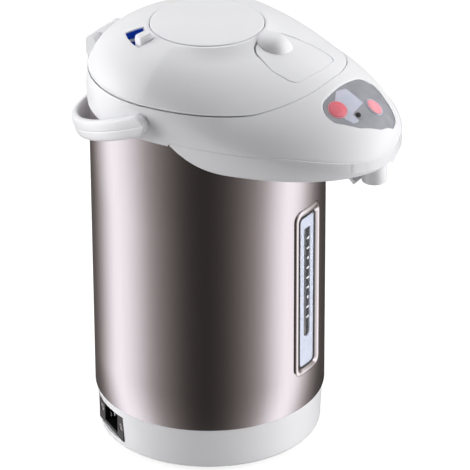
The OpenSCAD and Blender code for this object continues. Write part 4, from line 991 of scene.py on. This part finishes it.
def makeLock():
    v = lock
    floor = boxMm("lock_slide")[0][2]

    # blocks on rings round the axis: angle by a closed section of (radius, height above the slide's bottom)
    def sector(name, low, high, section, replaced=()):
        a = np.radians(np.concatenate([[low, low + 0.25, low + 0.8], np.linspace(low + 1.6, high - 1.6, 16),
                                       [high - 0.8, high - 0.25, high]]))
        inset = np.concatenate([[0.9, 0.35, 0.08], np.zeros(16), [0.08, 0.35, 0.9]])
        grid = np.array([[(-math.cos(angle) * r, math.sin(angle) * r, z) for r, z in section(angle, d)]
                         for angle, d in zip(a, inset)])
        n, m = grid.shape[:2]
        makePiece(name, grid, gridFaces(n, m, False, True), "whiteAbs", "lock", replaced,
                  smooth=50, loops=endLoops(n, m))

    def tab(angle, d):
        r = np.array([v["in"] + 0.5, v["in"] + 0.1, v["in"] + 0.5, v["in"] + 1.3,
                      *np.linspace(v["in"] + 2.5, v["out"] - 2.5, 9), v["out"] - 1.3, v["out"] - 0.5,
                      v["out"] - 0.1, v["out"] - 0.5])
        down = np.array([99, 1.3, 0.5, 0.1, *np.zeros(9), 0.1, 0.5, 1.3, 99])
        z = skinZ(-math.cos(angle) * r, math.sin(angle) * r) + v["proud"] - down - d
        return list(zip(r, np.maximum(z, floor + 0.2)))

    def slide(angle, d):
        return [(v["slideIn"], floor), (v["slideIn"], floor + v["slideTop"]),
                (v["slideOut"], floor + v["slideTop"]), (v["slideOut"], floor)]

    # blue wall at the far end of the lock's slot: radius by a closed section, its top under the skin
    count = v["wallSteps"]
    r = np.linspace(v["wallIn"], v["wallOut"], count)[:, None]
    a = np.radians([v["wallFrom"], v["wallFrom"], v["wallTo"], v["wallTo"]])[None, :]
    x, y = -np.cos(a) * r, np.sin(a) * r
    high = skinZ(x, y)[:, 1:3].min(1) - v["wallUnder"]
    low = np.full(count, floor - 0.2)
    z = np.stack([low, high, high, low], 1)
    makePiece("lockWall", joined(x, y, z), gridFaces(count, 4, False, True), "blue", "lid",
              smooth=50, loops=endLoops(count, 4))
    sector("lockTab", v["angle"] - v["span"] / 2, v["angle"] + v["span"] / 2, tab, ("lock_slide",))
    sector("lockSlide", v["angle"] - v["slideSpan"], v["angle"] + v["slideSpan"], slide)


makeLock()

# Pump plate: a shallow crown with a small rounded edge and a skirt
pump = {"r": 44.0, "crown": 3.0, "skirt": 10.0, "wall": 2.0, "edge": 0.9, "top": 2.5}


def makePumpPlate():
    plateZ = domeZ - pump["crown"]
    sphere = (pump["r"] ** 2 + pump["crown"] ** 2) / (2 * pump["crown"])
    r = np.linspace(0, pump["r"] - pump["edge"], 24)
    crown = [(x, plateZ + pump["crown"] - sphere + math.sqrt(sphere ** 2 - x * x), 0) for x in r]
    corners = crown + [(pump["r"], plateZ - 0.05, pump["edge"]), (pump["r"], plateZ - pump["skirt"], 0.4),
                       (pump["r"] - pump["wall"], plateZ - pump["skirt"], 0.4),
                       (pump["r"] - pump["wall"], plateZ - pump["top"], 1), (0, plateZ - pump["top"], 0)]
    turned("pumpPlate", corners, "whiteAbs", "pump", ("pump_plate",), sides=240,
           closed=False)


makePumpPlate()
print("lid, lever, lock and pump plate made")

# Head housing: angle by a closed ring of lid seam, top skin, side wall, lower edge and inner wall
housing = {"sides": 560, "finer": 0.6, "topRings": 90, "sideRings": 40, "notchHalf": 11.2,
           "notchTop": 310.8, "panelGap": 0.35, "panelDepth": 1.5}
panelDiscs = [(-22, -127, 10), (27.5, -128, 10.5), (19.5, -140.5, 12.7), (11.5, -143, 13.3),
              (2, -142, 13.8), (-12, -138, 10)]


# Side wall below the widest line: the outline drawn in as it goes down, not at the rear
def bellyPoint(phi, z, d=0.0):
    y0 = outline(phi, headA - d, headB - d, headRear - d)[1]
    s = np.clip((widestZ(y0) - z) / (widestZ(y0) - bellyZ), 0, 1)
    return outline(phi, headA - d - head["bellyIn"] * s ** head["bellyPower"], headB - d - 3 * s,
                   headRear - d)


def partingZ(y):
    ahead = np.maximum(0, (-y - head["partingFrom"]) / (headB - head["partingFrom"]))
    return topZ + head["partingUp"] - head["partingDrop"] * ahead ** 1.6


def underZ(y):
    k = np.clip((-y - head["underStart"]) / (head["underEnd"] - head["underStart"]), 0, 1)
    return collarZ + (bellyZ - collarZ) * (1 - (1 - k) ** 2.6)


def makeHousing():
    v = housing
    n = v["sides"]
    even = (np.arange(n) + 0.5) * 2 * np.pi / n
    phi = even - v["finer"] * np.sin(even)
    px, py = outline(phi, headA, headB, headRear)
    reach = np.hypot(px, py)
    sx, sy = px / reach, py / reach
    start = np.minimum(seamRadius(sx, sy, seamZ - head["seamGap"] / 2, head["seamGap"]), reach - 0.6)
    t = np.sin(np.linspace(0, np.pi / 2, v["topRings"]))[None, :]
    r = start[:, None] + 0.35 + (reach - start - 0.35)[:, None] * t
    x, y = sx[:, None] * r, sy[:, None] * r
    top = np.where(sy > 0, seamZ - head["seamGap"] / 2, 1e3)
    top = np.where((sy > 0) & (np.abs(px) < v["notchHalf"]), v["notchTop"], top)[:, None]
    z = np.minimum(skinZ(x, y), top)
    inPanel = soften((v["panelGap"] - hullDistance(x, y, panelDiscs)) / 0.5)
    z = z - v["panelDepth"] / tilt(x, y) * inPanel
    bottom = np.where(py < -head["underStart"], partingZ(py) + 0.04, collarZ)
    s = np.linspace(0, 1, v["sideRings"])[None, 1:]
    sideZ = widestZ(py)[:, None] + (bottom + 0.1 - widestZ(py))[:, None] * s
    sideX, sideY = bellyPoint(phi[:, None], sideZ)
    lx, ly = bellyPoint(phi, bottom, 0.05)
    ix, iy = bellyPoint(phi, bottom, head["wall"])
    lip = np.stack([joined(lx, ly, bottom), joined(ix, iy, bottom)], 1)
    inward = np.linspace(1, 0, 12)[None, :]
    wallZ = widestZ(py)[:, None] + (bottom - widestZ(py))[:, None] * inward
    wallX, wallY = bellyPoint(phi[:, None], wallZ, head["wall"])
    back = np.sin(np.linspace(np.pi / 2, 0, 24))[None, :]
    ri = np.maximum(start[:, None] + (reach - head["wall"] - start)[:, None] * back, start[:, None])
    topX, topY = sx[:, None] * ri, sy[:, None] * ri
    topIn = np.minimum(np.minimum(skinZ(topX, topY, head["wall"]), skinZ(topX, topY) - 1.5), top - 1.5)
    topIn = topIn - 3.0 / tilt(topX, topY) * soften((4 - hullDistance(topX, topY, panelDiscs)) / 3)
    firstZ = np.minimum(skinZ(sx * start, sy * start), top[:, 0])
    first = np.stack([joined(sx * start, sy * start, firstZ - 0.9),
                      joined(sx * (start + 0.08), sy * (start + 0.08), firstZ - 0.3)], 1)
    grid = np.concatenate([first, joined(x, y, z), joined(sideX, sideY, sideZ), lip,
                           joined(wallX, wallY, wallZ), joined(topX, topY, topIn)], 1)
    makePiece("headHousing", grid, gridFaces(n, grid.shape[1], True, True), "whiteAbs", "pot",
              ("head_housing",), smooth=40)


makeHousing()

# Snout cover: angle by a closed ring from the parting line, round the lower edge, in along the underside
# and back
cover = {"sides": 480, "rings": 34, "round": 2.6, "line": 0.8}


def makeSnoutCover():
    v = cover
    limit = math.acos(((head["underStart"] + 0.2) / headB) ** (head["outlinePower"] / 2))
    phi = np.linspace(-limit, limit, v["sides"])
    py = outline(phi, headA, headB, headRear)[1]
    top = partingZ(py) - 0.04
    under = underZ(py)
    s = np.linspace(0, 1, v["rings"])[None, :]
    wide = np.minimum(v["round"], (top - under) * 0.45)
    z = (top - v["line"])[:, None] + (under + wide - top + v["line"])[:, None] * s
    x, y = bellyPoint(phi[:, None], z)
    lx, ly = bellyPoint(phi, top, v["line"])
    bx, by = bellyPoint(phi, under + wide)
    length = np.hypot(bx, by)
    ux, uy = (bx / length)[:, None], (by / length)[:, None]
    arc = np.radians(np.linspace(15, 90, 6))[None, :]
    arcR = length[:, None] - wide[:, None] * (1 - np.cos(arc)) * 1.3
    arcZ = under[:, None] + wide[:, None] * (1 - np.sin(arc))
    rim = arcR[:, -1:]
    seat = np.minimum(bodyR + 0.2, rim - 0.5)
    floorR = seat + (rim - seat) * np.linspace(1, 0, 14)[None, 1:]
    floorZ = np.tile(under[:, None], (1, floorR.shape[1]))
    upR = np.concatenate([seat, seat + (rim - seat) * np.linspace(0, 1, 6)[None, 1:] - 1.0], 1)
    upZ = under[:, None] + 2.0 + np.zeros_like(upR)
    ix, iy = bellyPoint(phi[:, None], np.stack([under + wide, top], 1), head["wall"])
    grid = np.concatenate([
        joined(lx, ly, top)[:, None, :], joined(x, y, z), joined(ux * arcR, uy * arcR, arcZ),
        joined(ux * floorR, uy * floorR, floorZ), joined(ux * upR, uy * upR, upZ),
        joined(ix, iy, np.stack([under + wide + 1, top], 1))], 1)
    n, m = grid.shape[:2]
    makePiece("snoutCover", grid, gridFaces(n, m, False, True), "whiteAbs", "pot",
              ("snout_cover",), smooth=40, loops=endLoops(n, m))


makeSnoutCover()

# Lid hinge at the rear: a bracket and two ears on the head, and the lid's knuckle between them
hinge = {"half": 20.0, "knuckle": 10.5, "free": 0.4, "barrel": 5.0, "back": 99.4, "low": 285.6}


def makeHinge():
    v = hinge
    y, z, r = head["hingeY"], head["hingeZ"], v["barrel"]
    foot = headRear - 4
    bracket = rounded([(foot, v["low"], 0), (v["back"] - 0.6, v["low"], 3.0),
                       (v["back"] - 0.2, seamZ - r - 3, 1.5), (foot, seamZ - r - 3, 0)], 6, True)
    prism("hingeBracket", bracket, -v["half"] + 0.6, v["half"] - 0.6, "whiteAbs", "pot",
          bevel=2.0)
    a = np.radians(np.linspace(0, 180, 25))
    crown = np.column_stack([y + r * np.cos(a), z + r * np.sin(a)])
    ear = np.concatenate([[[y - r + 0.8, seamZ - r - 4], [y + r - 0.2, seamZ - r - 4]], crown])
    for name, x0, x1 in (("hingeEarLeft", -v["half"], -v["knuckle"] - v["free"]),
                         ("hingeEarRight", v["knuckle"] + v["free"], v["half"])):
        prism(name, ear, x0, x1, "whiteAbs", "pot", bevel=0.6)
    a = np.radians(np.linspace(-100, 90, 27))
    barrel = np.column_stack([y + r * np.cos(a), z + r * np.sin(a)])
    front = y - 10.0
    knuckle = np.concatenate([barrel, [[front + 2, z + r], [front, z + r - 1.5], [front, seamZ + 0.6]]])
    prism("lidKnuckle", knuckle, -v["knuckle"], v["knuckle"], "whiteAbs", "lid", bevel=0.6)


makeHinge()
print("head and hinge made")

# Control panel: a recessed glossy foil with printed fields, two domed keys and a lamp
panel = {"sink": 0.45, "thick": 1.0, "keyRadius": 6.9, "keyRise": 0.9, "ringRadius": 7.8, "ringRise": 0.18,
         "printUp": 0.06, "lampUp": 0.10, "printThick": 0.12, "printEdge": 0.03}
labelDiscs = [(-7.0, -119.6, 1.2), (1.6, -122.2, 1.2), (1.6, -135.4, 1.2), (-14.4, -136.2, 1.2),
              (-21.4, -134.4, 1.0), (-16.0, -124.0, 1.2)]
labelFootDiscs = [(-15.2, -137.0, 1.0), (-15.4, -142.0, 1.0), (-19.2, -140.4, 1.0), (-21.4, -135.4, 1.0)]
lampDiscs = [(-14.4, -140.4, 0.3), (-11.0, -137.2, 0.3), (-7.8, -140.6, 0.3), (-11.2, -143.8, 0.3)]


def makePanel():
    v = panel
    patch("panelPlate", panelDiscs, -v["sink"], v["thick"], "panelGrey", "pot",
          ("panel_plate",), rings=60, sides=360, edge=0.6)
    patch("panelLabel", labelDiscs, v["printUp"] - v["sink"], v["printThick"], "labelLilac", "pot",
          rings=24, edge=v["printEdge"])
    patch("panelLabelFoot", labelFootDiscs, v["printUp"] - v["sink"], v["printThick"], "labelLilac", "pot",
          rings=16, edge=v["printEdge"])
    patch("lampField", lampDiscs, v["lampUp"] - v["sink"], v["printThick"], "lampField", "pot",
          rings=16, edge=v["printEdge"])
    for name, at, body, node, material in (("dispenseButton", (-20.8, -128.0), "dispense",
                                            "dispense_button", "pink"),
                                           ("reboilButton", (10.0, -142.5), "reboil", "reboil_button",
                                            "palePink")):
        x, y = np.array(at[0]), np.array(at[1])
        axis = skinNormal(x, y)
        centre = np.array([float(x), float(y), float(skinZ(x, y))])
        k, r = v["keyRise"], v["keyRadius"]
        ball = (r ** 2 + k ** 2) / (2 * k)
        dome = [(q, k - ball + math.sqrt(ball ** 2 - q * q), 0) for q in np.linspace(0, r - 0.5, 14)]
        corners = dome + [(r, -0.05, 0.5), (r, -2.5, 0.3), (2.2, -2.7, 0.3), (2.2, -7.0, 0.3), (0, -7.0, 0)]
        turned(name, corners, material, body, (node,), sides=120, centre=centre, axis=axis,
               closed=False, smooth=50)
        q = v["ringRadius"]
        rim = [(r + 0.25, -v["sink"] - 0.3, 0), (r + 0.25, v["ringRise"] - v["sink"], 0.1),
               (q, v["ringRise"] - v["sink"] - 0.05, 0.15), (q + 0.1, -v["sink"] - 0.3, 0)]
        turned(name + "Ring", rim, "palePink" if body == "dispense" else "labelLilac", "pot",
               sides=120, centre=centre, axis=axis, smooth=50)


makePanel()

# Handle: a bar swept along a U, straight arms and a half circle, its ends rounded about the pivots, with a
# fine groove along its outer face
handle = {"inner": 97.5, "thick": 7.0, "tall": 17.0, "round": 2.6, "power": 3.2, "shift": 6.48,
          "rest": -22.0, "pivotZ": 300.0, "groove": 0.35}


def makeHandle():
    v = handle
    middle, half, tall = v["inner"] + v["thick"] / 2, v["thick"] / 2, v["tall"] / 2
    # path of the bar's middle: place, direction outwards, half height of its section
    cap = -np.cos(np.linspace(0, np.pi / 2, 13)) * tall
    arm = np.linspace(0, v["shift"], 5)[1:]
    arc = np.radians(np.linspace(0, 180, 121))
    first = [(middle, y) for y in cap] + [(middle, y) for y in arm[:-1]]
    px = np.array([p[0] for p in first] + list(middle * np.cos(arc)) + [-p[0] for p in first[::-1]])
    py = np.array([p[1] for p in first] + list(v["shift"] + middle * np.sin(arc))
                  + [p[1] for p in first[::-1]])
    count = len(first)
    ox = np.array([1.0] * count + list(np.cos(arc)) + [-1.0] * count)
    oy = np.array([0.0] * count + list(np.sin(arc)) + [0.0] * count)
    high = np.where(py < 0, np.sqrt(np.maximum(0.0, tall ** 2 - np.minimum(py, 0) ** 2)), tall)
    # section: |across / half| ^ p + |along / tall| ^ p = 1, with a groove in its outer face
    along = np.unique(np.concatenate([tall * np.sin(np.linspace(-np.pi / 2, np.pi / 2, 33)),
                                      np.linspace(-1.2, 1.2, 9)]))
    across = half * (1 - np.abs(along / tall) ** v["power"]) ** (1 / v["power"])
    out = np.concatenate([across - v["groove"] * np.exp(-(along / 0.5) ** 2), -across[-2:0:-1]])
    up = np.concatenate([along, along[-2:0:-1]])
    # towards a rounded end the section's corners draw in with its height
    squeeze = (high / tall)[:, None]
    narrow = np.where(py[:, None] < 0,
                      np.sqrt(np.maximum(0, 1 - np.clip(1 - high / v["round"], 0, 1) ** 2))[:, None], 1.0)
    x = px[:, None] + ox[:, None] * out[None, :] * narrow
    y = py[:, None] + oy[:, None] * out[None, :] * narrow
    z = up[None, :] * squeeze
    a = math.radians(v["rest"])
    grid = joined(x, y * math.cos(a) - z * math.sin(a), v["pivotZ"] + y * math.sin(a) + z * math.cos(a))
    n, m = grid.shape[:2]
    makePiece("carryHandle", grid, gridFaces(n, m, False, True), "whiteAbs", "handle",
              ("handle",), smooth=50, loops=endLoops(n, m))


makeHandle()

# Spout: a plain tube with a rounded lip
spout = {"outer": 9.8, "inner": 8.0, "y": -148.6, "low": 249.8, "high": 268.5}


def makeSpout():
    v = spout
    corners = [(v["inner"], v["low"], 0.8), (v["outer"], v["low"], 0.9), (v["outer"], v["high"], 0),
               (v["outer"] + 0.9, v["high"] + 0.1, 0.2),
               (v["outer"] + 0.9, v["high"] + 1.5, 0.2), (v["inner"], v["high"] + 1.5, 0.2),
               (v["inner"], v["low"] + 1, 0)]
    turned("spoutTube", corners, "whiteAbs", "pot", ("spout_tube",), sides=160,
           centre=(0, v["y"], 0))


makeSpout()
print("panel, handle and spout made")

# Finishes of the solids that stay
finishes = {
    "greyRubber": ("foot_ring", "tube_fittings", "air_valve"),
    "innerAbs": ("bottom_cover", "pump_volute", "mouth_deck", "lid_liner"),
    "plated": ("base_screws", "inlet_pins", "inlet_screws", "cup_lever_pin", "cup_lever_spring",
               "hinge_pin", "liner_screws", "pump_spring", "lever_pin", "lever_spring"),
    "potSteel": ("inner_pot", "pot_outlet", "pump_motor"),
    "silicone": ("pot_gasket", "thermal_fuse", "suction_hose", "delivery_hose", "riser_hose",
                 "spout_nozzle", "lid_seal", "bellows"),
    "aluminium": ("heater_disc",),
    "blackPlastic": ("thermostat", "pump_impeller", "board_parts", "inlet_socket", "status_lamp",
                     "key_switches", "cup_switch"),
    "level": ("sight_tube",),
    "clear": ("window_pane",),
    "green": ("power_board", "control_board"),
    "whiteAbs": ("cup_lever", "handle_pivots"),
    "blue": ("lock_mark",),
}
for finish, names in finishes.items():
    for name in names:
        nodes[name].data.materials.clear()
        nodes[name].data.materials.append(materials[finish])

print("finishes set")
